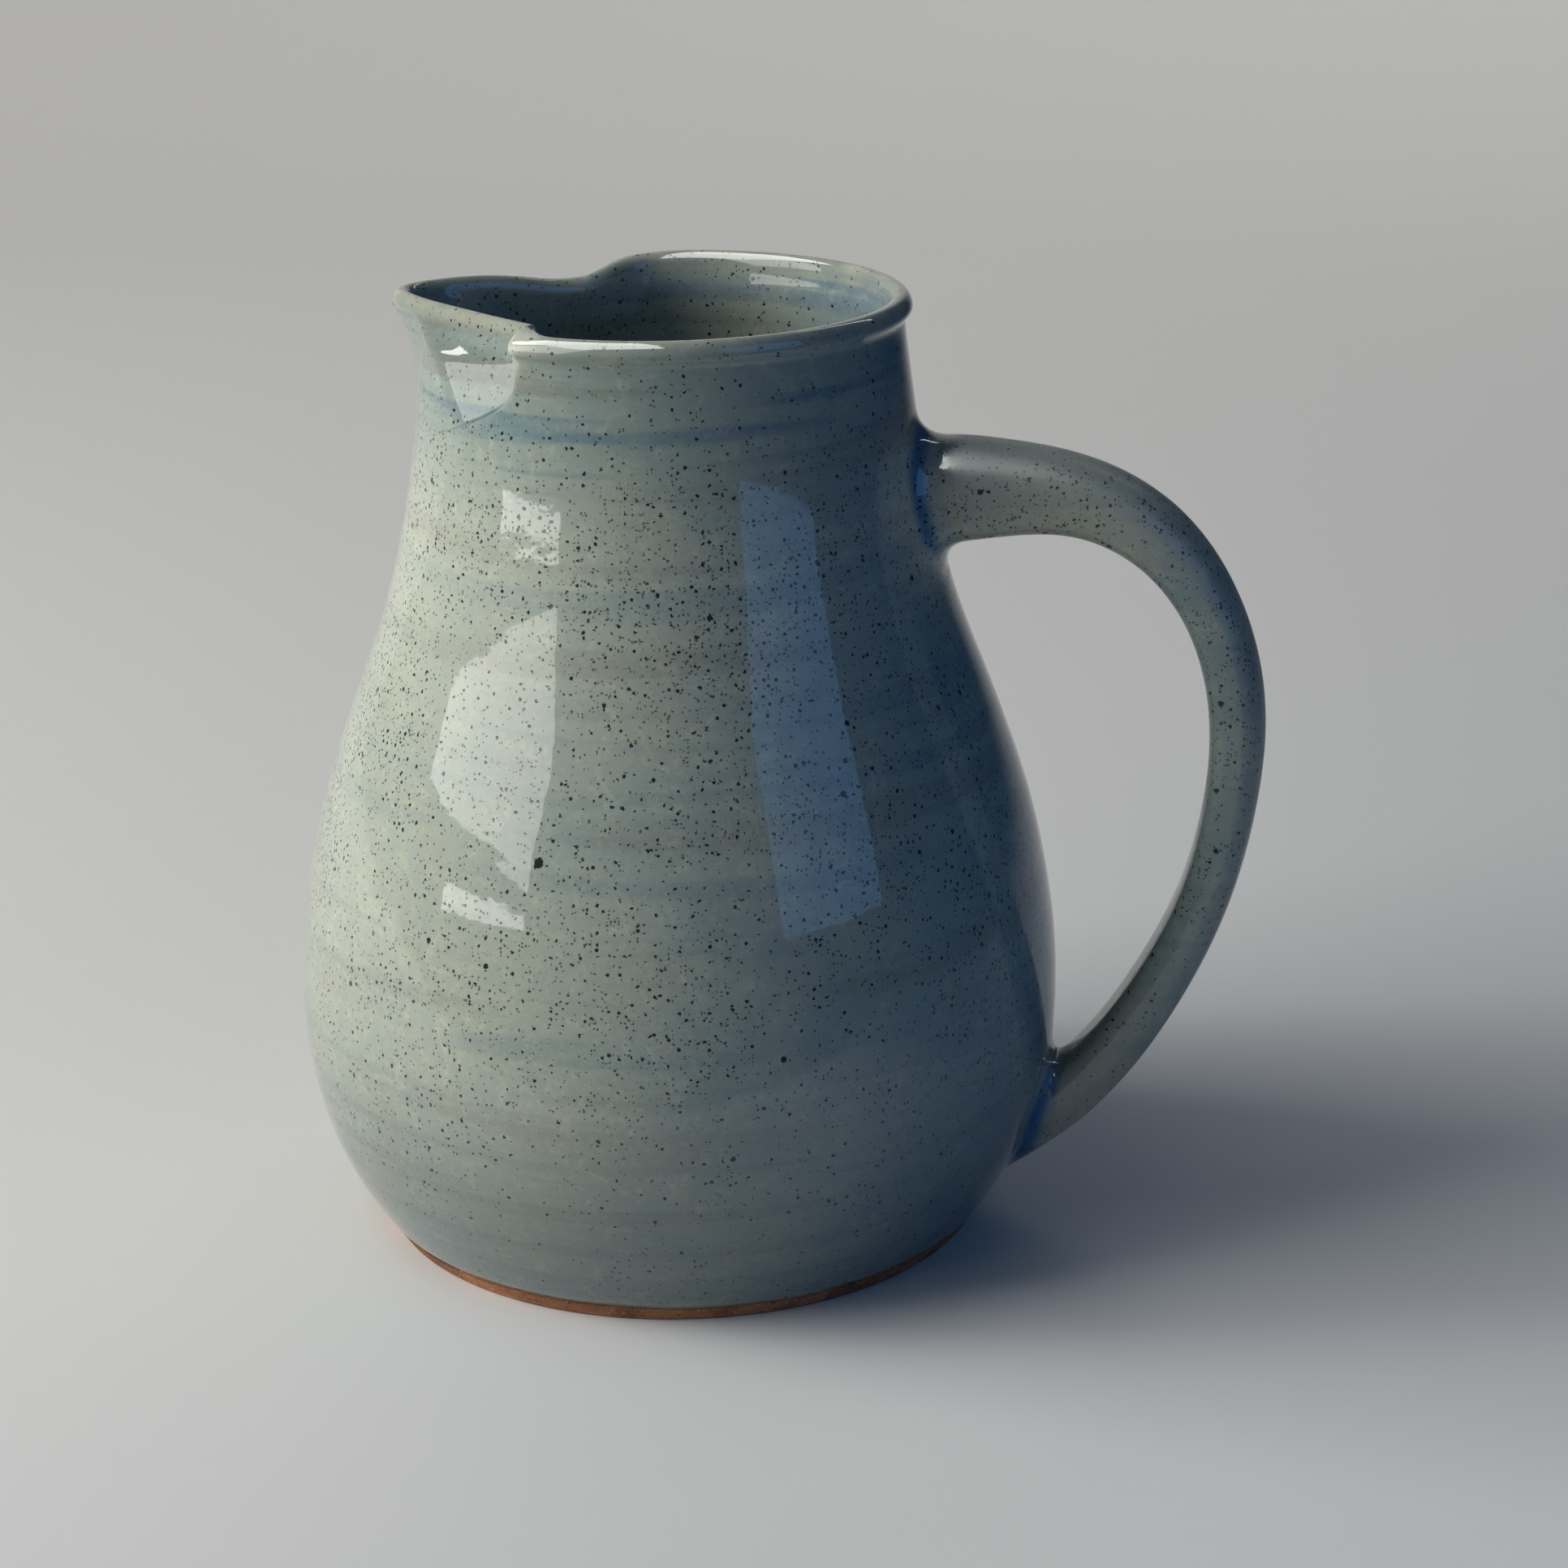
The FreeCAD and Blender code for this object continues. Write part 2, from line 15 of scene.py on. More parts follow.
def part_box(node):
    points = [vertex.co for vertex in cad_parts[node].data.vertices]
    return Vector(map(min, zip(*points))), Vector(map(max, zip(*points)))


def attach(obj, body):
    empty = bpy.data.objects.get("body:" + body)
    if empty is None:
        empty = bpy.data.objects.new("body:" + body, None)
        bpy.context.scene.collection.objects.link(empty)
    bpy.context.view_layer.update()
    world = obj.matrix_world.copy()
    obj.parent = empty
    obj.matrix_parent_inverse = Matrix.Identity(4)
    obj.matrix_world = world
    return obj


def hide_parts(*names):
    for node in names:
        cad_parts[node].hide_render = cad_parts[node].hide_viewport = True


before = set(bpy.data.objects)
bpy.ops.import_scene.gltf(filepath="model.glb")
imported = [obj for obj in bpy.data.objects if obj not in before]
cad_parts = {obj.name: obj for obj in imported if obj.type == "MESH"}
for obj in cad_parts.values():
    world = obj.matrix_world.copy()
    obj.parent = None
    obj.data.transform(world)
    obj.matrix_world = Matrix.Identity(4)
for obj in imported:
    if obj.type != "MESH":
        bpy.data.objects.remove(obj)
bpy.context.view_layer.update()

# ---------------------------------------------------------------- sizes, from the frame

BODY_LOW, BODY_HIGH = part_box("body")
RIM = 208.0
MM = BODY_HIGH.z / RIM
BELLY = (BODY_HIGH.y - BODY_LOW.y) / 2 / MM

# Outside of the thrown wall, foot to throat, as (radius, height). The lip and the spout are added to it.
WALL_STATIONS = [
    (67.1, 1.2), (74.2, 12), (79.6, 24), (83.5, 40), (BELLY, 55), (82.0, 78), (77.4, 98),
    (70.7, 118), (63.9, 136), (59.1, 152), (56.1, 166), (53.72, 180), (52.45, 190),
    (51.62, 197), (51.0, 208),
]
WALL = 4.6
FLOOR = 7.0
FLOOR_ROUND = 14.0
FOOT_BEVEL = 1.2

# The glaze is wiped off the foot up to this line, and stands out this much from the bare clay.
GLAZE_LINE = 3.8
GLAZE_STEP = 0.35
GLAZE_EDGE_ROUND = 0.7

# The rolled rim: a round lip over LIP_LEVEL, a bead outside, a faint hollow below it, a flare inside.
LIP_LEVEL = 204.9
LIP_HEIGHT = 3.1
LIP_OUTSIDE = 52.8
LIP_INSIDE = 47.6
LIP_STEPS = 14
BEAD_DROP = 2.6
BEAD_HOLLOW = 0.1
BEAD_HOLLOW_LEVEL = 200.5
BEAD_HOLLOW_REACH = 2.4
FLARE_INSIDE_HEIGHTS = (199.0, 205.0)

# Ridges left by the fingers, as (pitch up the wall, height of the ridge), and how they calm upwards.
SPIRAL_RIDGE = (9.5, 0.013)
SLOW_RIDGE = (31.0, 0.05)
FINE_RIDGE = (3.7, 0.002)
RIDGE_CALM_HEIGHTS = (185.0, 95.0)
RIDGE_CALM_SHARE = 0.08
# How far the wall wanders once and twice round the wheel.
WOBBLE_ONCE = 0.16
WOBBLE_TWICE = 0.1

# The beak is drawn a few degrees off the handle's axis, and its seam runs from the rim to a point below.
BEAK_BEARING = 176.5
SEAM_BOTTOM = 174.0
SEAM_TURN = 197.5
SEAM_FADE_HEIGHTS = (178.0, 187.0)
GROOVE_DEPTH = 0.25
GROOVE_REACH = 0.9
BEAK_HALF_ANGLE = 36.0
BEAK_SIDE = 42.0
BEAK_SIDE_INSIDE = 37.8
BEAK_BLUNT = 7.9
BEAK_BLUNT_INSIDE = 6.2
BEAK_RISE_POWER = 2.4
PINCH_BOTTOM = 189.0
PINCH_BOTTOM_INSIDE = 176.0
# The lip of the beak flares a little at its nose and more at its throat, over these angles and heights.
BEAK_FLARE = 0.5
THROAT_FLARE = 1.6
FLARE_ANGLES = (25.0, 45.0)
FLARE_HEIGHTS = (201.0, 207.0)
# The near side of the beak is pressed flat below its lip. The flat leans in more and more as it rises.
FACET_HALF_ANGLE = 26.0
FACET_BOTTOM = 186.0
FACET_TOP = 205.0
FACET_LEAN = (0.25, 0.80)
FACET_TWIST = 6.0
FACET_EDGE = 0.35

# The near throat is folded sharply. The far one is a soft pinch that was pressed lower.
NEAR_SPREAD = 65.3
NEAR_SPREAD_INSIDE = 61.0
FAR_SPREAD = 50.0
NEAR_FOLDS = (2.6, 15.0)
FAR_FOLDS = (19.0, 25.0)
NEAR_LIP_FOLD = 1.5
LIP_FOLD_HEIGHTS = (198.0, 206.0)
NEAR_LIP_TURN = 2.5
LIP_TURN_HEIGHTS = (202.0, 207.0)
FAR_DIP = 3.2
DIP_BEARING = 46.0
DIP_SPREAD = 19.0
DIP_BOTTOM = 184.0

# Centreline of the handle as (out, up, thickness in its plane, width across it).
HANDLE_STATIONS = [
    (52.5, 166.0, 23.0, 25.0), (62, 167.0, 21.8, 24.4), (72, 167.4, 19.6, 23.2),
    (88.2, 165.9, 16.3, 21.5), (104.3, 157.9, 14.4, 20.5), (117.0, 141.8, 12.8, 19.5),
    (122.8, 120.1, 12.2, 18.5), (122.0, 97.8, 11.4, 18.0), (115.6, 73.2, 11.4, 17.5),
    (104.7, 50.8, 12.4, 17.5), (91.0, 32.5, 13.6, 18.5), (84.0, 26.0, 14.4, 19.5),
    (75.5, 20.0, 15.0, 20.5),
]
HANDLE_SPACING = 0.9
HANDLE_COLUMNS = 96
# How square the handle's section is on the outside of the loop and on its inside: 2 is an ellipse.
OUTER_POWER = 2.2
INNER_POWER = 3.6

# How far each collar reaches from the handle's crease at the top, the sides and the bottom.
UPPER_REACHES = (6.0, 6.5, 9.5)
LOWER_REACHES = (9.5, 5.0, 3.5)
COLLAR_STEPS = 26
# How far its hidden side lies inside the wall and inside the handle, and how far its two edges sink in.
COLLAR_SINK = 1.4
COLLAR_INSIDE = 1.6
COLLAR_CORNER = 2.0
EDGE_SINK = 0.015
UNWRAP_RADIUS = 60.0

# Reach of the cobalt pools round the upper and the lower crease.
UPPER_POOL = 3.2
LOWER_POOL = 4.4


# How thin the glaze runs in each place that breaks to cream: 0 is a full coat, 1 is nearly bare.
THIN_OVER_LIP = 0.35
THIN_OUTSIDE_LIP = 0.38
THIN_INSIDE_LIP = 0.5
THIN_IN_THROAT = 0.35
THIN_ON_RIDGE = 0.3
THIN_ON_FOLD = 0.32
THIN_AT_FOOT = 0.8
# On the handle the cream is painted light: the whole handle is lightened, more towards the body.
PAINTED_LIGHT_ON_HANDLE = 0.32
PAINTED_LIGHT_AT_HANDLE_ROOT = 0.58
THROAT_HEIGHTS = (165.0, 195.0)
FOLD_HEIGHTS = (196.0, 204.0)
ROOT_REACHES = (112.0, 82.0)

# Fineness of the meshes.
ROUND_COLUMNS = 300
BEAK_COLUMNS = 130
SEAM_ROWS = 52
OUTSIDE_ROW_SPACING = 1.45
INSIDE_ROW_SPACING = 3.0


# ---------------------------------------------------------------- curves

def smooth_step(value):
    """0 below 0, 1 above 1, with level ends."""
    value = np.clip(value, 0.0, 1.0)
    return value * value * (3 - 2 * value)


def eased(value, low, high):
    """How far value is on its way from low to high, from 0 to 1, with level ends."""
    return smooth_step((value - low) / (high - low))


def spline(stations, spacing):
    """Points at an even spacing on a natural cubic spline through stations, by chord length."""
    points = np.array(stations, float)
    chords = np.linalg.norm(np.diff(points[:, :2], axis=0), axis=1)
    along = np.concatenate([[0], np.cumsum(chords)])
    count = len(points)
    system = np.eye(count)
    right = np.zeros_like(points)
    for i in range(1, count - 1):
        before, after = chords[i - 1], chords[i]
        system[i, i - 1:i + 2] = before, 2 * (before + after), after
        slope_after = (points[i + 1] - points[i]) / after
        slope_before = (points[i] - points[i - 1]) / before
        right[i] = 6 * (slope_after - slope_before)
    bend = np.linalg.solve(system, right)
    positions = np.linspace(0, along[-1], int(along[-1] / spacing) + 1)
    span = np.clip(np.searchsorted(along, positions, side="right") - 1, 0, count - 2)
    step = chords[span][:, None]
    a = (along[span + 1] - positions)[:, None] / step
    b = 1 - a
    cubic = ((a ** 3 - a) * bend[span] + (b ** 3 - b) * bend[span + 1]) * step ** 2 / 6
    return a * points[span] + b * points[span + 1] + cubic


WALL_CURVE = spline(WALL_STATIONS, 0.5)


def wall_radius(height):
    """Outside radius of the thrown wall, without the lip, at a height."""
    return np.interp(height, WALL_CURVE[:, 1], WALL_CURVE[:, 0])


def wall_slope(height):
    """Change of the outside radius with height."""
    reach = 1.0
    return (wall_radius(height + reach) - wall_radius(height - reach)) / (2 * reach)


def inside_radius(height):
    """Inside radius of the thrown wall, WALL away from the outside along its normal."""
    lean = np.sqrt(1 + wall_slope(height) ** 2)
    return wall_radius(height) - WALL * lean


def bead_bulge(height):
    """How far the rolled rim stands out from the wall, outside."""
    roll = eased(height, LIP_LEVEL - BEAD_DROP, LIP_LEVEL)
    hollow = -BEAD_HOLLOW * np.exp(-((height - BEAD_HOLLOW_LEVEL) / BEAD_HOLLOW_REACH) ** 2)
    return roll * (LIP_OUTSIDE - wall_radius(height)) + hollow


def throwing_rings(height, bearing):
    """Low spiral ridges that fingers leave in thrown clay, with a slight wobble of the wheel."""
    turn = np.radians(bearing)

    def ridge(pitch_and_height, phase):
        pitch, tall = pitch_and_height
        return tall * np.sin(2 * math.pi * height / pitch + phase)

    spiral = ridge(SPIRAL_RIDGE, turn + 0.8 * np.sin(2 * turn))
    slow = ridge(SLOW_RIDGE, 1.3 - turn)
    fine = ridge(FINE_RIDGE, 2 * turn)
    calm = RIDGE_CALM_SHARE + (1 - RIDGE_CALM_SHARE) * eased(height, *RIDGE_CALM_HEIGHTS)
    wobble = WOBBLE_ONCE * np.sin(turn + height / 60.0) + WOBBLE_TWICE * np.sin(2 * turn + 0.7)
    return calm * (spiral + slow + fine) + wobble


# ---------------------------------------------------------------- the beak and its seam

def near_or_far(turn, near, far):
    """A value for the near side of the beak's axis, where turn is positive, or for the far side."""
    return np.where(turn >= 0, near, far)


def seam_rise(height):
    """Share of its full spread that the seam has reached at a height."""
    rise = np.clip((height - SEAM_BOTTOM) / (SEAM_TURN - SEAM_BOTTOM), 0, 1)
    return np.sin(rise * math.pi / 2)


def seam_bearing(height, turn, outside=True):
    """How far round from the beak's axis its seam lies at a height, on the side that turn is on."""
    near = NEAR_SPREAD_INSIDE
    if outside:
        near = NEAR_SPREAD - NEAR_LIP_TURN * eased(height, *LIP_TURN_HEIGHTS)
    return near_or_far(turn, near, FAR_SPREAD) * seam_rise(height)


def seam_strength(height):
    """How marked the seam is: it fades out below."""
    return eased(height, *SEAM_FADE_HEIGHTS)


def beak_plan(away, side, blunt, half_angle=BEAK_HALF_ANGLE):
    """Radius of a blunt wedge at an angle away from its axis."""
    return side / np.sin(np.radians(half_angle + np.sqrt(away ** 2 + blunt ** 2)))


def soft_positive(value, width=1.0):
    """The positive part of value, rounded over width."""
    return 0.5 * (value + np.sqrt(value ** 2 + width ** 2))


def facet_radius(away, height):
    """Radius of the flat on the near side of the beak, which meets the lip's outline at the top."""
    from_top = np.clip(FACET_TOP - height, 0, None)
    tall = FACET_TOP - FACET_BOTTOM
    low, high = FACET_LEAN
    side = BEAK_SIDE + high * from_top - (high - low) * np.minimum(from_top, tall) ** 2 / (2 * tall)
    twist = smooth_step(from_top / FACET_TWIST)
    half_angle = BEAK_HALF_ANGLE + (FACET_HALF_ANGLE - BEAK_HALF_ANGLE) * twist
    return beak_plan(away, side, BEAK_BLUNT, half_angle)


def beak_rise(height):
    """Share of the beak's full reach that it has at a height."""
    share = np.clip((height - SEAM_BOTTOM + 2) / (RIM - SEAM_BOTTOM + 1), 0, 1)
    return share ** BEAK_RISE_POWER


def beak_outside(turn, height):
    """How far the beak's outside stands from the round wall, out at its nose and in at its throat."""
    away = np.abs(turn)
    step = beak_plan(away, BEAK_SIDE, BEAK_BLUNT) - wall_radius(RIM)
    drawn = soft_positive(step) * beak_rise(height)
    near = drawn - soft_positive(drawn + wall_radius(height) - facet_radius(away, height), FACET_EDGE)
    far = drawn - soft_positive(-step) * eased(height, PINCH_BOTTOM, RIM)
    flare = BEAK_FLARE + (THROAT_FLARE - BEAK_FLARE) * eased(away, *FLARE_ANGLES)
    return near_or_far(turn, near, far) + flare * eased(height, *FLARE_HEIGHTS)


def beak_inside(turn, height):
    """The same for the beak's inside."""
    step = beak_plan(np.abs(turn), BEAK_SIDE_INSIDE, BEAK_BLUNT_INSIDE) - (wall_radius(RIM) - WALL)
    pinch = eased(height, PINCH_BOTTOM_INSIDE, RIM)
    return soft_positive(step) * beak_rise(height) - soft_positive(-step) * pinch


def folded_offset(turn, height, outside):
    """The same for the round wall beside the seam, which folds to meet the beak, and the fold's share."""
    seam = seam_bearing(height, turn, outside)
    on_seam = near_or_far(turn, seam, -seam)
    beyond = np.abs(turn) - seam
    if outside:
        width = NEAR_FOLDS[0] + NEAR_LIP_FOLD * eased(height, *LIP_FOLD_HEIGHTS)
        near = 1 - np.sqrt(1 - (1 - np.clip(beyond / width, 0, 1)) ** 2)
        fold = near_or_far(turn, near, 1 - smooth_step(beyond / FAR_FOLDS[0]))
        return beak_outside(on_seam, height) * fold, fold
    past = np.clip(beyond / near_or_far(turn, NEAR_FOLDS[1], FAR_FOLDS[1]), 0, None)
    fold = 0.8 * (1 - smooth_step(past)) + 0.2 * np.exp(-past * 1.1)
    return beak_inside(on_seam, height) * fold, fold


def beak_groove(turn, height):
    """The seam's groove on the beak's side of it."""
    away = np.abs(turn)
    deep = GROOVE_DEPTH * near_or_far(turn, 1.0, 0.3) * seam_strength(height)
    return -deep * np.exp(-((seam_bearing(height, turn) - away) / GROOVE_REACH) ** 2)


def within_half_turn(bearing):
    """The same bearing between -180 and 180."""
    return (bearing + 180) % 360 - 180


def dip(height, from_beak):
    """Drop of the rim at the far throat, which the potter pressed lower than the near one."""
    place = np.exp(-((within_half_turn(from_beak) + DIP_BEARING) / DIP_SPREAD) ** 2)
    return FAR_DIP * place * eased(height, DIP_BOTTOM, RIM)


def to_space(radius, height, from_beak):
    """Points in metres from radius, height and bearing from the beak's axis."""
    bearing = np.radians(BEAK_BEARING + from_beak)
    drop = dip(height, from_beak)
    place = [radius * np.cos(bearing), radius * np.sin(bearing), height - drop]
    return np.stack(place, axis=-1) * MM


def pot_radius(height, from_beak, outside, beak):
    """Radius of the outside or inside of the pot, on the beak's side of the seam or the other one."""
    turn = within_half_turn(from_beak)
    rings = throwing_rings(height, BEAK_BEARING + from_beak)
    base = wall_radius(height) if outside else inside_radius(height)
    if beak and outside:
        return base + beak_outside(turn, height) + beak_groove(turn, height) + rings
    if beak:
        return base + beak_inside(turn, height) + rings
    offset, fold = folded_offset(turn, height, outside)
    if outside:
        bead = bead_bulge(height)
    else:
        bead = -eased(height, *FLARE_INSIDE_HEIGHTS) * (base - LIP_INSIDE)
    return base + offset + bead * (1 - fold) + rings


# ---------------------------------------------------------------- meshes

SHARP_ANGLE = math.radians(50)
WELD = 2e-7


def make_piece(name, points, faces, slot, stands_for, attributes):
    """A clean closed mesh that rides on the one body, with sharp edges kept where it has corners."""
    mesh = bpy.data.meshes.new(name)
    mesh.from_pydata(points.tolist(), [], faces)
    for label, values in attributes.items():
        layer = mesh.attributes.new(label, "FLOAT", "POINT")
        layer.data.foreach_set("value", np.asarray(values, np.float32))
    work = bmesh.new()
    work.from_mesh(mesh)
    bmesh.ops.remove_doubles(work, verts=work.verts, dist=WELD)
    bmesh.ops.dissolve_degenerate(work, edges=work.edges, dist=WELD / 2)
    bmesh.ops.recalc_face_normals(work, faces=work.faces)
    for face in work.faces:
        face.smooth = True
    for edge in work.edges:
        if len(edge.link_faces) == 2 and edge.calc_face_angle() > SHARP_ANGLE:
            edge.smooth = False
    work.to_mesh(mesh)
    work.free()
    piece = bpy.data.objects.new(name, mesh)
    bpy.context.scene.collection.objects.link(piece)
    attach(piece, "root")
    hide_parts(*stands_for)
    return piece


def sheet_faces(rows, columns, closed=False):
    """Quads of a grid of rows by columns."""
    across = columns if closed else columns - 1
    row, column = np.meshgrid(np.arange(rows - 1), np.arange(across), indexing="ij")
    here = row * columns + column
    beside = row * columns + (column + 1) % columns
    quads = np.stack([here, beside, beside + columns, here + columns], axis=-1)
    return quads.reshape(-1, 4).tolist()


def heights_between(low, high, spacing):
    """Even heights from low to high, both included."""
    return np.linspace(low, high, max(2, int(round((high - low) / spacing)) + 1))


def spread(count, ends):
    """Shares from 0 to 1, closer together at both ends."""
    share = np.linspace(0, 1, count)
    return share - (1 - ends) * np.sin(2 * math.pi * share) / (2 * math.pi)


def lip_arc():
    """Shares across the lip from outside to inside and how high each stands, for a rounded top."""
    turn = np.linspace(0, math.pi, LIP_STEPS + 2)[1:-1]
    return 0.5 - 0.5 * np.cos(turn), np.sin(turn)


SEAM_HEIGHTS = SEAM_BOTTOM + (LIP_LEVEL - SEAM_BOTTOM) * np.linspace(0, 1, SEAM_ROWS) ** 1.1


def pot_section(from_beak_at, beak):
    """Grid of the pot's wall over SEAM_HEIGHTS: up outside, over the lip and down inside.

    Also gives how thin the glaze is at its points. from_beak_at gives the bearings of a row.
    """
    rows, thin = [], []
    for height in SEAM_HEIGHTS:
        turn = from_beak_at(height, True)
        rows.append(to_space(pot_radius(height, turn, True, beak), height, turn))
        thin.append(thin_outside(height, turn, beak))
    turn_out, turn_in = from_beak_at(LIP_LEVEL, True), from_beak_at(LIP_LEVEL, False)
    outer = pot_radius(LIP_LEVEL, turn_out, True, beak)
    inner = pot_radius(LIP_LEVEL, turn_in, False, beak)
    for share, rise in zip(*lip_arc()):
        height = LIP_LEVEL + LIP_HEIGHT * rise * np.ones_like(turn_out)
        turn = turn_out + (turn_in - turn_out) * share
        rows.append(to_space(outer + (inner - outer) * share, height, turn))
        thin.append(np.clip(thin_outside(LIP_LEVEL, turn_out, beak) + THIN_OVER_LIP * rise, 0, 1))
    for height in SEAM_HEIGHTS[::-1]:
        turn = from_beak_at(height, False)
        rows.append(to_space(pot_radius(height, turn, False, beak), height, turn))
        thin.append(thin_inside(height) * np.ones_like(turn))
    return rows, thin


def hump(distance, reach):
    """1 at no distance, fading out over reach."""
    return np.exp(-(distance / reach) ** 2)


def thin_outside(height, from_beak, beak):
    """How thin the glaze is outside: on the lip, on the ridge beside the seam and on the fold."""
    turn = within_half_turn(from_beak)
    past_seam = np.abs(turn) - seam_bearing(height, turn)
    lip = THIN_OUTSIDE_LIP * hump(LIP_LEVEL + 1.0 - height, 1.8) * np.ones_like(turn)
    if beak:
        return lip
    ridge = THIN_ON_RIDGE * seam_strength(height) * hump(past_seam - 2.6, 1.9)
    fold = THIN_ON_FOLD * eased(height, *FOLD_HEIGHTS) * hump(past_seam - 5.0, 6.0)
    return np.clip(lip + ridge + fold, 0, 1)


def thin_inside(height):
    """How thin the glaze is inside the mouth."""
    throat = THIN_IN_THROAT * eased(height, *THROAT_HEIGHTS)
    return np.maximum(throat, THIN_INSIDE_LIP * hump(LIP_LEVEL - height, 2.2))


def wall_between(first, second):
    """Quads that join two lists of point indices."""
    return [[first[i], first[i + 1], second[i + 1], second[i]] for i in range(len(first) - 1)]


def end_faces(columns, first_row=0):
    """The two cut faces of a wall over SEAM_HEIGHTS, which starts at a row: outside against inside."""
    total = 2 * len(SEAM_HEIGHTS) + LIP_STEPS
    half = total // 2
    faces = []
    for column in (0, columns - 1):
        index = [(first_row + row) * columns + column for row in range(total)]
        faces += wall_between(index[:half], index[::-1][:half])
    return faces


ROUND_SHARES = spread(ROUND_COLUMNS, 0.3)
ROUND = 360 * ROUND_SHARES


def glaze_line():
    """Height of the glaze's wiped edge at each bearing of ROUND. It wavers."""
    turn = np.radians(ROUND)
    waver = 0.35 * np.sin(2 * turn + 1) + 0.22 * np.sin(5 * turn + 0.4) + 0.1 * np.sin(17 * turn)
    return GLAZE_LINE + waver


def full_row(radius, level):
    """A full ring of the pot. The radius and the height are one number, or one for each bearing."""
    return to_space(radius * np.ones(ROUND_COLUMNS), level * np.ones(ROUND_COLUMNS), ROUND)


def glaze_underside(share):
    """A ring of the face between glaze and bare foot, at a share of its radius. Share 0 is its centre."""
    level = glaze_line() if share > 0 else GLAZE_LINE
    return full_row(share * (wall_radius(GLAZE_LINE) - GLAZE_STEP), level)


def rows_below_seam():
    """Rows of the body's outside from the glaze's rounded edge to the seam, and how thin its glaze is."""
    line = glaze_line()
    rows, thin = [], []
    for height in heights_between(GLAZE_LINE, SEAM_BOTTOM, OUTSIDE_ROW_SPACING)[:-1]:
        above = (height - GLAZE_LINE) / (SEAM_BOTTOM - GLAZE_LINE)
        level = height + (line - GLAZE_LINE) * (1 - above) ** 6
        edge = 1 - np.clip((level - line) / GLAZE_EDGE_ROUND, 0, 1)
        radius = pot_radius(level, ROUND, True, False) - GLAZE_STEP * (1 - np.sqrt(1 - edge ** 2))
        rows.append(full_row(radius, level))
        thin.append(THIN_AT_FOOT * np.exp(-(level - line) / 1.6))
    return rows, thin


def rows_inside():
    """Rows of the body's inside from the seam down to the floor's centre, with the floor's turned rings."""
    rows = []
    for height in heights_between(FLOOR + FLOOR_ROUND, SEAM_BOTTOM, INSIDE_ROW_SPACING)[-2::-1]:
        level = height * np.ones(ROUND_COLUMNS)
        rows.append(full_row(pot_radius(level, ROUND, False, False), level))
    bend = FLOOR_ROUND * 0.9
    flat = inside_radius(FLOOR + FLOOR_ROUND) - bend
    for turn in np.linspace(0, math.pi / 2, 12)[1:]:
        level = FLOOR + FLOOR_ROUND * (1 - math.sin(turn))
        rows.append(full_row(flat + bend * math.cos(turn) + throwing_rings(level, ROUND), level))
    for part in np.linspace(1, 0, 26)[1:]:
        rows.append(full_row(flat * part, FLOOR + 0.2 * part * math.sin(part * 40)))
    return rows


def make_body():
    """The thrown body above its glaze line, as one closed wall with the notch that the beak fills."""

    def from_beak_at(height, outside):
        near, far = (seam_bearing(height, side, outside) for side in (1, -1))
        return near + (360 - near - far) * ROUND_SHARES

    base = [glaze_underside(0.0), glaze_underside(0.9)]
    below, below_thin = rows_below_seam()
    rows, thin = pot_section(from_beak_at, False)
    inside = rows_inside()
    grid = base + below + rows + inside
    none = np.zeros(ROUND_COLUMNS)
    amounts = [none] * len(base) + below_thin + thin + [none] * len(inside)
    faces = sheet_faces(len(grid), ROUND_COLUMNS)
    faces += end_faces(ROUND_COLUMNS, len(base) + len(below))
    return np.concatenate(grid), faces, np.concatenate(amounts)


def make_beak():
    """The drawn beak inside its seam, with its own wall and lip."""
    share = 2 * spread(BEAK_COLUMNS, 0.45) - 1

    def from_beak_at(height, outside):
        return seam_bearing(height, share, outside) * share

    rows, thin = pot_section(from_beak_at, True)
    faces = sheet_faces(len(rows), BEAK_COLUMNS) + end_faces(BEAK_COLUMNS)
    return np.concatenate(rows), faces, np.concatenate(thin)


def make_foot():
    """The bare foot under the glaze line: a base with turned lines, a bevelled edge and a short wall."""
    edge = wall_radius(FOOT_BEVEL)
    grid = []
    for part in np.linspace(0, 1, 14)[:-1]:
        lines = 0.12 * (1 - math.cos(part * 60))
        grid.append(full_row(part * (edge - 1.6), lines))
    for turn in np.linspace(0, math.pi / 2, 7):
        radius = edge - 1.4 + FOOT_BEVEL * math.sin(turn)
        grid.append(full_row(radius, FOOT_BEVEL * (1 - math.cos(turn))))
    for part in np.linspace(0, 1, 8)[1:]:
        level = FOOT_BEVEL + (glaze_line() - FOOT_BEVEL) * part
        scratches = 0.05 * np.sin(level * 9) + 0.03 * np.sin(np.radians(ROUND) * 41)
        radius = wall_radius(level) - GLAZE_STEP + scratches + throwing_rings(level, ROUND)
        grid.append(full_row(radius, level))
    grid += [glaze_underside(0.9), glaze_underside(0.0)]
    return np.concatenate(grid), sheet_faces(len(grid), ROUND_COLUMNS)


# ---------------------------------------------------------------- handle and collars

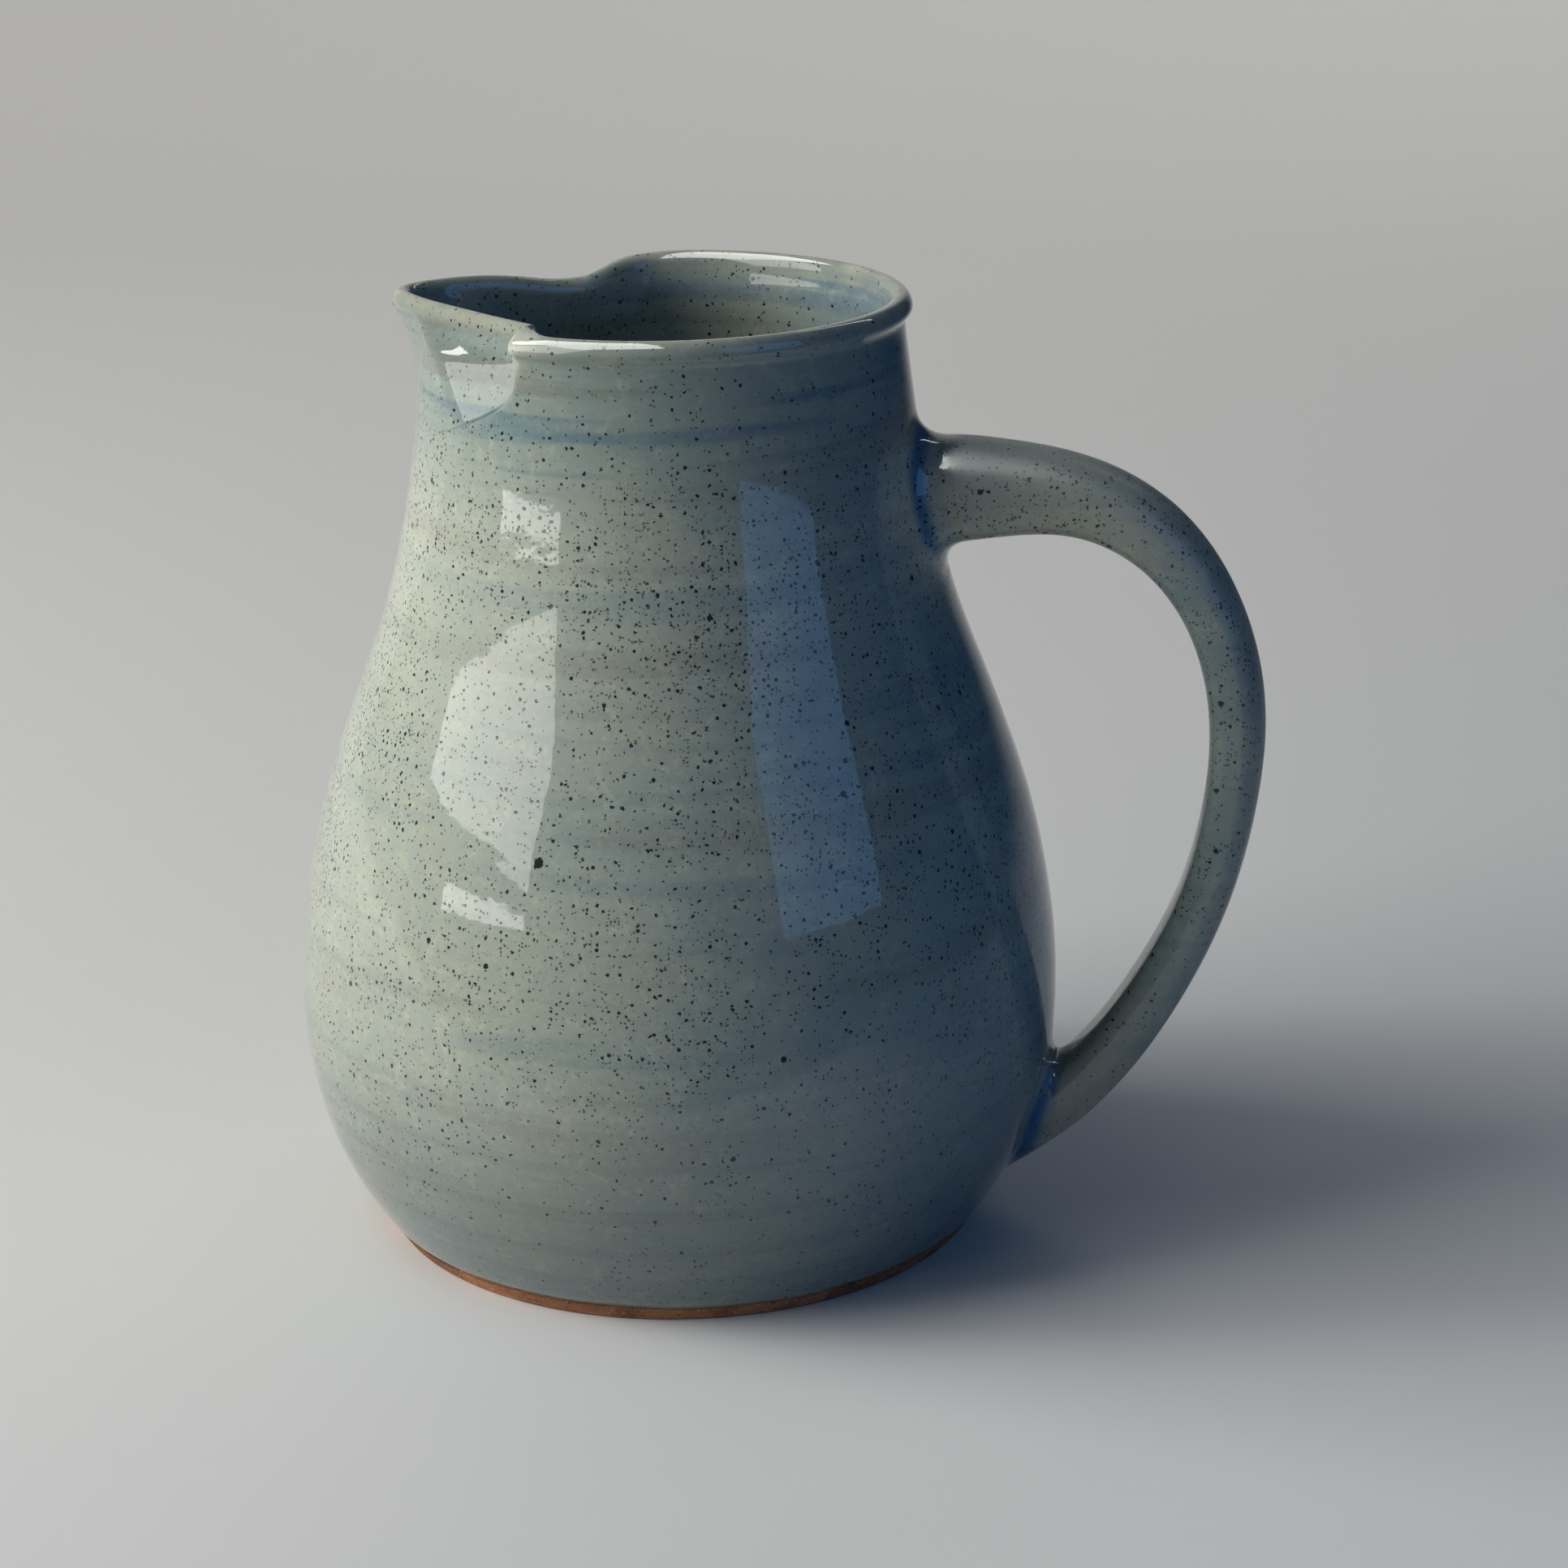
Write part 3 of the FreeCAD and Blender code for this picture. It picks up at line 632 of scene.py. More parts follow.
def handle_surface():
    """Points of the handle's surface in millimetres, ring by ring."""
    path = spline(HANDLE_STATIONS, HANDLE_SPACING)
    ahead = np.gradient(path[:, :2], axis=0)
    ahead /= np.linalg.norm(ahead, axis=1)[:, None]
    outward = np.stack([-ahead[:, 1], ahead[:, 0]], axis=1)
    turn = np.linspace(0, 2 * math.pi, HANDLE_COLUMNS, endpoint=False)
    power = 2 / (OUTER_POWER + (INNER_POWER - OUTER_POWER) * smooth_step(0.5 - 1.5 * np.cos(turn)))
    flat = np.sign(np.cos(turn)) * np.abs(np.cos(turn)) ** power
    side = np.sign(np.sin(turn)) * np.abs(np.sin(turn)) ** power
    along = np.arange(len(path))[:, None] * HANDLE_SPACING
    sway = 0.10 * np.sin(along / 17 + 2 * turn) + 0.07 * np.sin(along / 7.3 - turn + 1)
    thick = path[:, 2, None] / 2 + sway
    wide = path[:, 3, None] / 2 + sway * 0.7
    out = path[:, 0, None] + outward[:, 0, None] * flat * thick
    up = path[:, 1, None] + outward[:, 1, None] * flat * thick
    across = side * wide + 0.3 * np.sin(along / 60)
    return np.stack([out, across, up], axis=-1)


def make_handle(surface):
    """The pulled handle as a closed tube whose ends run into the wall of the body."""
    rings = [surface[0].mean(axis=0) + np.zeros_like(surface[0])]
    rings += list(surface)
    rings.append(surface[-1].mean(axis=0) + np.zeros_like(surface[0]))
    points = np.concatenate(rings) * MM
    return points, sheet_faces(len(rings), HANDLE_COLUMNS, closed=True)


def unwrap(points):
    """Points as (distance round the pot, height, depth over the wall), so that the wall is a plane."""
    bearing = np.arctan2(points[..., 1], points[..., 0])
    height = points[..., 2]
    depth = np.hypot(points[..., 0], points[..., 1]) - wrapped_wall(bearing, height)
    return np.stack([bearing * UNWRAP_RADIUS, height, depth], axis=-1)


def wrap(flat):
    """The reverse of unwrap."""
    bearing = flat[..., 0] / UNWRAP_RADIUS
    radius = wrapped_wall(bearing, flat[..., 1]) + flat[..., 2]
    return np.stack([radius * np.cos(bearing), radius * np.sin(bearing), flat[..., 1]], axis=-1)


def wrapped_wall(bearing, height):
    """Outside radius of the body at a bearing in radians, with its throwing rings."""
    return wall_radius(height) + throwing_rings(height, np.degrees(bearing))


def interpolated(rings, column, place):
    """A point on one column of rings, at a place that is counted in rings."""
    steps = np.arange(len(rings))
    return np.array([np.interp(place, steps, rings[:, column, axis]) for axis in range(3)])


def surfacing_place(depth):
    """Where a column of the handle comes out of the wall, counted in rings."""
    step = int(np.argmax(depth > 0))
    return step - 1 + depth[step - 1] / (depth[step - 1] - depth[step])


def collar_arc(flat, column, place, touch, direction, reach):
    """Start on the handle, control point and end on the wall of one column's curve, tangent to both."""
    begin = place + reach / HANDLE_SPACING
    start = interpolated(flat, column, begin)
    slope = interpolated(flat, column, begin + 0.5) - interpolated(flat, column, begin - 0.5)
    control = start - slope * start[2] / slope[2] if slope[2] > 1e-6 else touch
    if np.linalg.norm(control - touch) >= 3 * reach:
        control = touch
    control = np.append(control[:2], 0.0)
    end = np.append(touch[:2] + direction * reach, 0.0)
    return start, control, end


def collar(surface, reaches):
    """Fillet between the handle and the body: tangent to both, closed underneath. Also gives its crease."""
    flat = unwrap(surface)
    reach_top, reach_side, reach_bottom = reaches
    places = [surfacing_place(flat[:, column, 2]) for column in range(HANDLE_COLUMNS)]
    crease = np.array([interpolated(flat, column, place) for column, place in enumerate(places)])
    middle = crease.mean(axis=0)
    arcs = []
    for column, place in enumerate(places):
        direction = crease[column, :2] - middle[:2]
        direction /= np.linalg.norm(direction)
        upward = direction[1]
        reach_end = reach_top if upward > 0 else reach_bottom
        reach = reach_side + (reach_end - reach_side) * upward ** 2
        arcs.append(collar_arc(flat, column, place, crease[column], direction, reach))
    starts, controls, ends = map(np.array, zip(*arcs))
    rings = []
    for share in np.linspace(0, 1, COLLAR_STEPS):
        rings.append((1 - share) ** 2 * starts + 2 * share * (1 - share) * controls + share ** 2 * ends)
    sink = np.array([0, 0, COLLAR_SINK])
    inward = middle - starts
    inward[:, 2] = 0
    inward /= np.linalg.norm(inward, axis=1)[:, None]
    rings[0] = rings[0] + inward * EDGE_SINK
    rings[-1] = rings[-1] - sink * EDGE_SINK
    corners = controls + inward * COLLAR_CORNER - sink
    rings += [ends - sink, corners, starts + inward * COLLAR_INSIDE, rings[0]]
    points = wrap(np.array(rings))
    faces = sheet_faces(len(rings), HANDLE_COLUMNS, closed=True)
    return points.reshape(-1, 3) * MM, faces, wrap(crease) * MM


# ---------------------------------------------------------------- pieces

def nearest_to(points, curve):
    """Distance in millimetres from each point to the nearest point of a curve."""
    near = np.full(len(points), 1e3)
    for place in curve:
        near = np.minimum(near, np.linalg.norm(points - place, axis=1) / MM)
    return near


def build_pieces():
    """All pieces of the pitcher. Each takes over from the CAD nodes that it stands for."""
    surface = handle_surface()
    upper = collar(surface, UPPER_REACHES)
    lower = collar(surface[::-1], LOWER_REACHES)

    def glaze_over(name, stands_for, points, faces, thin, deep=1.0, satin=0.0):
        """A glazed piece, with the amounts that its glaze reads.

        thin breaks the glaze to cream, and on the handle it is painted light; pool deepens it to cobalt
        round the joints' creases; deep is painted shade, which turns its shaded side blue; and satin softens
        its shine on the upper half of the handle loop.
        """
        from_upper, from_lower = nearest_to(points, upper[2]), nearest_to(points, lower[2])
        away = np.minimum(from_upper, from_lower)
        height = points[:, 2] / MM
        amounts = {
            "thin": thin,
            "pool": np.maximum(hump(from_upper, UPPER_POOL), hump(from_lower, LOWER_POOL)),
            # Painted shade, rising from 4 to 20 mm away from the joints' creases.
            "deep": deep * eased(away, 4.0, 20.0),
            "satin": satin * eased(height, 60.0, 120.0) * eased(away, 3.0, 13.0),
        }
        return make_piece(name, points, faces, "glaze", stands_for, amounts)

    pieces = [
        glaze_over("glazed_body", ["body", "glaze_coat"], *make_body()),
        glaze_over("glazed_spout", ["spout"], *make_beak()),
    ]
    foot = make_piece("bare_foot", *make_foot(), "clay", ["body"], {})
    points, faces = make_handle(surface)
    reach = points[:, 0] / MM
    # Painted light: the handle lightened to cream, more towards the body.
    thin = PAINTED_LIGHT_ON_HANDLE + (PAINTED_LIGHT_AT_HANDLE_ROOT - PAINTED_LIGHT_ON_HANDLE) * eased(reach, *ROOT_REACHES)
    # Painted shade on the handle: weaker, on the far part of its loop.
    deep = 0.6 * eased(reach, 92.0, 118.0)
    pieces.append(glaze_over("glazed_handle", ["handle"], points, faces, thin, deep, 1.0))
    for name, node, (points, faces, _) in (
        ("upper_joint_collar", "upper_handle_coil", upper),
        ("lower_joint_collar", "lower_handle_coil", lower),
    ):
        pieces.append(glaze_over(name, [node], points, faces, np.zeros(len(points)), 1.0, 1.0))
    return pieces, foot


# ---------------------------------------------------------------- materials

class Nodes:
    """A short way to write a material's node tree."""

    def __init__(self, name):
        self.material = bpy.data.materials.new(name)
        self.material.use_nodes = True
        self.tree = self.material.node_tree
        self.shader = self.tree.nodes["Principled BSDF"]
        self.place = self.node("ShaderNodeTexCoord").outputs["Object"]

    def node(self, kind, **settings):
        made = self.tree.nodes.new(kind)
        for key, value in settings.items():
            setattr(made, key, value)
        return made

    def put(self, socket, value):
        """Links an output to a socket, or sets the socket's own value."""
        if isinstance(value, bpy.types.NodeSocket):
            self.tree.links.new(value, socket)
        else:
            socket.default_value = value

    def stretched(self, scale):
        mapping = self.node("ShaderNodeMapping")
        self.put(mapping.inputs["Vector"], self.place)
        mapping.inputs["Scale"].default_value = scale
        return mapping.outputs["Vector"]

    def noise(self, scale, detail=3.0, roughness=0.5, vector=None, distortion=0.0):
        made = self.node("ShaderNodeTexNoise")
        self.put(made.inputs["Vector"], vector or self.place)
        made.inputs["Scale"].default_value = scale
        made.inputs["Detail"].default_value = detail
        made.inputs["Roughness"].default_value = roughness
        made.inputs["Distortion"].default_value = distortion
        return made.outputs["Fac"]

    def math(self, operation, first, second):
        made = self.node("ShaderNodeMath", operation=operation)
        self.put(made.inputs[0], first)
        self.put(made.inputs[1], second)
        return made.outputs[0]

    def plus(self, first, second):
        return self.math("ADD", first, second)

    def times(self, first, second):
        return self.math("MULTIPLY", first, second)

    def largest(self, first, second):
        return self.math("MAXIMUM", first, second)

    def vector(self, operation, first, second):
        made = self.node("ShaderNodeVectorMath", operation=operation)
        self.put(made.inputs[0], first)
        self.put(made.inputs[1], second)
        return made.outputs

    def ramp(self, value, low, high, start=0.0, end=1.0):
        """value moved from the range low to high onto start to end, with soft ends and clamped."""
        made = self.node("ShaderNodeMapRange", interpolation_type="SMOOTHSTEP")
        for socket, number in zip(made.inputs, (value, low, high, start, end)):
            self.put(socket, number)
        return made.outputs[0]

    def mix(self, share, first, second, blend="MIX"):
        made = self.node("ShaderNodeMix", data_type="RGBA", blend_type=blend)
        self.put(made.inputs[0], share)
        self.put(made.inputs[6], first)
        self.put(made.inputs[7], second)
        return made.outputs[2]

    def attribute(self, name):
        return self.node("ShaderNodeAttribute", attribute_name=name).outputs["Fac"]

    def bump(self, height, strength, distance, after=None):
        made = self.node("ShaderNodeBump")
        self.put(made.inputs["Height"], height)
        made.inputs["Strength"].default_value = strength
        made.inputs["Distance"].default_value = distance
        if after is not None:
            self.put(made.inputs["Normal"], after)
        return made.outputs["Normal"]

    def set(self, **values):
        for name, value in values.items():
            self.put(self.shader.inputs[name.replace("_", " ")], value)


def rgb(red, green, blue):
    """A colour given as 0 to 255 of the screen, as linear light."""
    shares = [value / 255 for value in (red, green, blue)]
    linear = [((share + 0.055) / 1.055) ** 2.4 if share > 0.0405 else share / 12.92 for share in shares]
    return (*linear, 1.0)


GREEN_GLAZE = rgb(155, 160, 144)
BLUE_GLAZE = rgb(131, 145, 143)
CREAM_GLAZE = rgb(180, 186, 172)
TAN_GLAZE = rgb(158, 147, 122)
THIN_GLAZE = rgb(164, 162, 142)
STREAK_BROWN = rgb(134, 126, 108)
STREAK_BLUE = rgb(96, 120, 130)
COBALT_GLAZE = rgb(10, 84, 124)
DARK_POOL = rgb(6, 44, 70)
IRON_SPECK = rgb(14, 20, 24)
# These multiply the glaze's colour: painted shade on the handle's side of the pot, and a darker, bluer
# colour near the foot and near the rim.
PAINTED_HANDLE_SIDE_SHADE = (0.36, 0.54, 0.76, 1.0)
LOW_TINT = (0.56, 0.60, 0.66, 1.0)
HIGH_TINT = (0.72, 0.79, 0.84, 1.0)

# Kinds of iron speck, as (size of cell, reach in cells, share of cells filled, shift of the cells).
FINE_SPECKS = (0.80, 0.37, 0.40, 0.0)
COARSE_SPECKS = (1.20, 0.34, 0.38, 0.37)
RARE_SPECKS = (3.4, 0.20, 0.12, 0.71)
FINE_SPECK_STRENGTH = 0.8
SPECK_STRENGTH = 0.94
# The one large blot of iron, at a height and a bearing from the beak.
BLOT_PLACE = (105.3, 81.4)
BLOT_REACH = 1.2

CLAY_LIGHT = rgb(158, 106, 72)
CLAY_DARK = rgb(108, 66, 42)
CLAY_LINE = rgb(84, 54, 38)
CLAY_GROG = rgb(206, 172, 134)
CLAY_IRON = rgb(44, 32, 26)

PAPER = rgb(206, 206, 204)
# The paper's colour where the glaze mirrors it at the right and in front: a painted dark reflection.
PAINTED_DARK_REFLECTION = rgb(30, 34, 40)
PAPER_BEYOND = rgb(190, 190, 187)
PAPER_FADE_RIGHT = (0.0, 0.7)
PAPER_FADE_FRONT = (-0.215, -0.245)


def specks(make, kind, keep):
    """Spots of iron: one in each cell of which a share shows. keep scales that share from place to place."""
    cell, reach, share, shift = kind
    wander = make.node("ShaderNodeTexNoise")
    make.put(wander.inputs["Vector"], make.place)
    wander.inputs["Scale"].default_value = 1900.0
    bent = make.vector("MULTIPLY", wander.outputs["Color"], (0.0009, 0.0009, 0.0009))[0]
    frayed = make.vector("ADD", make.place, bent)[0]
    moved = make.vector("ADD", frayed, (shift, shift * 0.7, shift * 1.3))[0]
    cells = make.node("ShaderNodeTexVoronoi")
    make.put(cells.inputs["Vector"], moved)
    cells.inputs["Scale"].default_value = 1.0 / (cell * MM)
    chance = make.node("ShaderNodeSeparateColor")
    make.put(chance.inputs[0], cells.outputs["Color"])
    size = make.ramp(chance.outputs[1], 0.0, 1.0, reach * 0.6, reach * 1.15)
    spot = make.ramp(make.math("SUBTRACT", size, cells.outputs["Distance"]), 0.0, reach * 0.28)
    return make.times(spot, make.math("LESS_THAN", chance.outputs[0], make.times(keep, share)))


def blot(make, ragged):
    """The one large blot of iron on the belly. ragged frays its edge."""
    height, from_beak = BLOT_PLACE
    centre = to_space(wall_radius(height), height, from_beak)
    apart = make.vector("DISTANCE", make.place, centre.tolist())["Value"]
    edge = make.plus(apart, make.times(ragged, 1.8 * BLOT_REACH * MM))
    return make.ramp(edge, 1.9 * BLOT_REACH * MM, 1.6 * BLOT_REACH * MM)


def iron(make, height, patchy, ragged):
    """All the iron in the glaze. Specks are fewer where patchy is low, near the foot and near the rim."""
    sparse_low = make.ramp(height, 20 * MM, 105 * MM, 0.25, 1.0)
    sparse_high = make.ramp(height, 165 * MM, 200 * MM, 1.0, 0.4)
    keep = make.times(make.times(make.ramp(patchy, 0.3, 0.7, 0.45, 1.4), sparse_low), sparse_high)
    fine = make.times(specks(make, FINE_SPECKS, keep), FINE_SPECK_STRENGTH)
    spots = make.largest(fine, specks(make, COARSE_SPECKS, keep))
    spots = make.largest(spots, specks(make, RARE_SPECKS, keep))
    return make.largest(spots, blot(make, ragged))


def glaze_body_colour(make, height, clouds, patches, grain):
    """Grey-green clouded with blue, with warm patches, streaks along the throwing rings and milky grain."""
    bands = make.noise(1.0, 3.0, 0.55, vector=make.stretched((5.0, 5.0, 110.0)), distortion=0.3)
    tone = make.plus(make.times(clouds, 0.4), make.times(patches, 0.2))
    tone = make.plus(tone, make.times(bands, 0.45))
    colour = make.mix(make.ramp(tone, 0.44, 0.78), GREEN_GLAZE, BLUE_GLAZE)
    warm = make.ramp(make.noise(30.0, 5.0, 0.62, distortion=1.0), 0.52, 0.74, 0.0, 0.35)
    colour = make.mix(warm, colour, TAN_GLAZE)
    streaky = make.ramp(height, 155 * MM, 178 * MM, 0.38, 0.85)
    colour = make.mix(make.times(make.ramp(bands, 0.53, 0.66), streaky), colour, STREAK_BROWN)
    colour = make.mix(make.times(make.ramp(bands, 0.47, 0.36), streaky), colour, STREAK_BLUE)
    colour = make.mix(make.ramp(grain, 0.45, 0.72, 0.0, 0.26), colour, CREAM_GLAZE)
    curdled = make.noise(170.0, 4.0, 0.7, distortion=1.2)
    colour = make.mix(make.ramp(curdled, 0.40, 0.66, 0.34, 0.0), colour, BLUE_GLAZE)
    return make.mix(make.ramp(curdled, 0.56, 0.74, 0.0, 0.34), colour, CREAM_GLAZE)


def painted_shade_and_light_by_place(make, colour, across, height):
    """The glaze's colour, with painted shade bluer towards the handle, bluer near the foot and near the rim,
    and painted light that pales it to cream by the beak.
    """
    # Painted shade: the handle's side of the pot, turned away from the windows, darkened to blue.
    shade = make.times(make.ramp(across, 0.0, 75 * MM), make.attribute("deep"))
    colour = make.mix(shade, colour, PAINTED_HANDLE_SIDE_SHADE, "MULTIPLY")
    colour = make.mix(make.ramp(height, 70 * MM, 15 * MM), colour, LOW_TINT, "MULTIPLY")
    # Painted light: the side by the beak, facing the windows, paled to cream from the belly upward, less so
    # near the rim.
    painted_light = make.times(make.ramp(across, 10 * MM, -70 * MM), make.ramp(height, 60 * MM, 150 * MM))
    painted_light = make.times(painted_light, make.ramp(height, 165 * MM, 195 * MM, 0.45, 0.1))
    colour = make.mix(painted_light, colour, CREAM_GLAZE)
    return make.mix(make.ramp(height, 160 * MM, 198 * MM), colour, HIGH_TINT, "MULTIPLY")


def thin_and_pooled(make, colour, patches):
    """The glaze's colour with cream edges, where it is thin, and cobalt pools, where it is thick. On the
    handle the cream is painted light.
    """
    ragged = make.times(make.math("SUBTRACT", patches, 0.5), 0.5)
    thin = make.plus(make.attribute("thin"), ragged)
    pool = make.attribute("pool")
    colour = make.mix(make.ramp(thin, 0.15, 0.85, 0.0, 0.75), colour, THIN_GLAZE)
    colour = make.mix(make.ramp(thin, 0.5, 0.95, 0.0, 0.9), colour, CREAM_GLAZE)
    colour = make.mix(make.ramp(pool, 0.1, 0.85, 0.0, 0.95), colour, COBALT_GLAZE)
    return make.mix(make.ramp(pool, 0.8, 1.0, 0.0, 0.8), colour, DARK_POOL)


def glaze_material():
    """Glossy celadon: a coloured ground with iron specks, under one clear coat that does the shining."""
    make = Nodes("celadon_glaze")
    upright = make.node("ShaderNodeSeparateXYZ")
    make.put(upright.inputs[0], make.place)
    height = upright.outputs[2]
    clouds = make.noise(16.0, 4.0, 0.6, distortion=0.6)
    patches = make.noise(48.0, 4.0, 0.6, distortion=0.8)
    grain = make.noise(620.0, 3.0, 0.65)
    drift = make.times(make.math("SUBTRACT", clouds, 0.5), 60 * MM)
    across = make.plus(upright.outputs[0], drift)

    colour = glaze_body_colour(make, height, clouds, patches, grain)
    colour = painted_shade_and_light_by_place(make, colour, across, height)
    colour = thin_and_pooled(make, colour, patches)
    spots = iron(make, height, make.noise(22.0, 3.0, 0.6), grain)
    colour = make.mix(make.times(spots, SPECK_STRENGTH), colour, IRON_SPECK)

    orange_peel = make.bump(make.noise(240.0, 2.0, 0.5), 0.035, 0.0006)
    normal = make.bump(spots, 0.12, 0.0001, after=orange_peel)
    make.set(Base_Color=colour, Roughness=make.ramp(grain, 0.3, 0.7, 0.24, 0.34), IOR=1.5,
             Specular_IOR_Level=0.0, Normal=normal)
    make.set(Coat_Weight=1.0, Coat_Roughness=make.ramp(make.attribute("satin"), 0.0, 1.0, 0.035, 0.4),
             Coat_Normal=normal)
    return make.material


def clay_material():
    """Bare fired stoneware: matt brown with coarse grog, turned lines and toasted patches."""
    make = Nodes("bare_stoneware")
    toast = make.noise(55.0, 5.0, 0.65, distortion=0.8)
    colour = make.mix(make.ramp(toast, 0.35, 0.65), CLAY_LIGHT, CLAY_DARK)
    lines = make.noise(1.0, 3.0, 0.6, vector=make.stretched((30.0, 30.0, 1500.0)))
    colour = make.mix(make.ramp(lines, 0.45, 0.75, 0.0, 0.5), colour, CLAY_LINE)
    grit = make.noise(1500.0, 2.0, 0.7)
    colour = make.mix(make.ramp(grit, 0.56, 0.7, 0.0, 0.55), colour, CLAY_GROG)
    colour = make.mix(make.ramp(make.noise(900.0, 2.0, 0.6), 0.62, 0.7, 0.0, 0.8), colour, CLAY_IRON)
    normal = make.bump(make.plus(grit, lines), 0.5, 0.0003)
    make.set(Base_Color=colour, Roughness=make.ramp(grit, 0.3, 0.7, 0.78, 0.95), Normal=normal)
    return make.material


def table_material():
    """Plain pale paper for the floor and the sweep. Where the glaze mirrors it at the right and in front, it
    is a painted dark reflection.
    """
    make = Nodes("pale_paper")
    place = make.node("ShaderNodeSeparateXYZ")
    make.put(place.inputs[0], make.place)
    mirrored = make.node("ShaderNodeLightPath").outputs["Is Glossy Ray"]
    right = make.ramp(place.outputs[0], *PAPER_FADE_RIGHT)
    front = make.ramp(place.outputs[1], *PAPER_FADE_FRONT)
    fade = make.times(make.largest(right, front), mirrored)
    make.set(Base_Color=make.mix(fade, PAPER, PAINTED_DARK_REFLECTION), Roughness=0.85, Specular_IOR_Level=0.2)
    return make.material


# ---------------------------------------------------------------- studio

def make_sweep():
    """The floor, which curves up behind the pitcher into a plain backdrop."""
    left, right, back, front, radius, tall = -2.2, 0.75, 2.6, -2.2, 1.4, 3.0
    outline = [(front, 0.0), (0.0, 0.0), (back - radius, 0.0)]
    for turn in np.linspace(0, math.pi / 2, 24)[1:]:
        outline.append((back - radius + radius * math.sin(turn), radius * (1 - math.cos(turn))))
    outline.append((back, tall))
    points = [(x, y, z) for y, z in outline for x in (left, right)]
    faces = [[2 * i, 2 * i + 1, 2 * i + 3, 2 * i + 2] for i in range(len(outline) - 1)]
    mesh = bpy.data.meshes.new("sweep")
    mesh.from_pydata(points, [], faces)
    for face in mesh.polygons:
        face.use_smooth = True
    mesh.materials.append(table_material())
    sweep = bpy.data.objects.new("sweep", mesh)
    bpy.context.scene.collection.objects.link(sweep)
    return sweep


def area_light(name, place, target, size, power, colour):
    """A soft rectangular light at place that faces target."""
    lamp = bpy.data.lights.new(name, "AREA")
    lamp.shape = "RECTANGLE"
    lamp.size, lamp.size_y = size
    lamp.energy = power
    lamp.color = colour
    light = bpy.data.objects.new(name, lamp)
    bpy.context.scene.collection.objects.link(light)
    facing = Vector(target) - Vector(place)
    light.matrix_world = Matrix.Translation(place) @ facing.to_track_quat("-Z", "Y").to_matrix().to_4x4()
    return light


# The viewer stands this far round from the pitcher's own front, and the camera is set in their directions.
VIEW_TURN = 10.0
CAMERA_BACK = 767.0
CAMERA_UP = 357.0
CAMERA_PITCH = 18.69
CAMERA_YAW = 1.79
CAMERA_ROLL = -0.84
CAMERA_LENS = 83.85


def turned(x, y, z):
    """A place given in the viewer's directions (right, away, up) in millimetres, in the pitcher's frame."""
    return Matrix.Rotation(math.radians(VIEW_TURN), 3, "Z") @ Vector((x, y, z)) * MM


def make_camera():
    """The camera in front and above, with the handle on its right."""
    pitch, yaw, roll = (math.radians(a) for a in (CAMERA_PITCH, CAMERA_YAW, CAMERA_ROLL))
    flat = (math.sin(yaw) * math.cos(pitch), math.cos(yaw) * math.cos(pitch))
    ahead = turned(*flat, -math.sin(pitch)).normalized()
    level = ahead.cross(Vector((0, 0, 1))).normalized()
    upward = level.cross(ahead)
    right = level * math.cos(roll) + upward * math.sin(roll)
    up = upward * math.cos(roll) - level * math.sin(roll)
    axes = Matrix((right, up, -ahead)).transposed().to_4x4()
    data = bpy.data.cameras.new("camera")
    data.sensor_width = 36.0
    data.lens = CAMERA_LENS
    camera = bpy.data.objects.new("camera", data)
    bpy.context.scene.collection.objects.link(camera)
    camera.matrix_world = Matrix.Translation(turned(0, -CAMERA_BACK, CAMERA_UP)) @ axes
    bpy.context.scene.camera = camera


# Height of the point that the windows' bearings and elevations are seen from.
MIDDLE = 120.0
DAYLIGHT = (1.0, 0.98, 0.95)
ROOM_COLOUR = (0.005, 0.008, 0.012, 1.0)


def window(name, bearing, width, low, high, radiance, colour, distance=1500.0, lean=0.0):
    """A window seen from the pitcher's middle at a bearing, between two elevations, all in degrees.

    A lean tilts it in its own plane, so that the end nearer to the camera stands higher.
    """
    turn, centre = math.radians(bearing), math.radians((low + high) / 2)
    middle = Vector((0, 0, MIDDLE * MM))
    flat = distance * math.cos(centre)
    place = turned(flat * math.sin(turn), -flat * math.cos(turn), MIDDLE + distance * math.sin(centre))
    wide = 2 * distance * math.tan(math.radians(width / 2)) * MM
    tall = 2 * distance * math.tan(math.radians((high - low) / 2)) * MM
    light = area_light(name, place, middle, (wide, tall), radiance * math.pi * wide * tall, colour)
    light.matrix_world = light.matrix_world @ Matrix.Rotation(math.radians(lean), 4, "Z")
    return light


def seen_only_in_reflections(light):
    """A light that the glaze mirrors, but that lights no surface."""
    light.visible_diffuse = False


def never_mirrored(light):
    """A light that lights surfaces, but that the glaze doesn't mirror."""
    light.visible_glossy = False


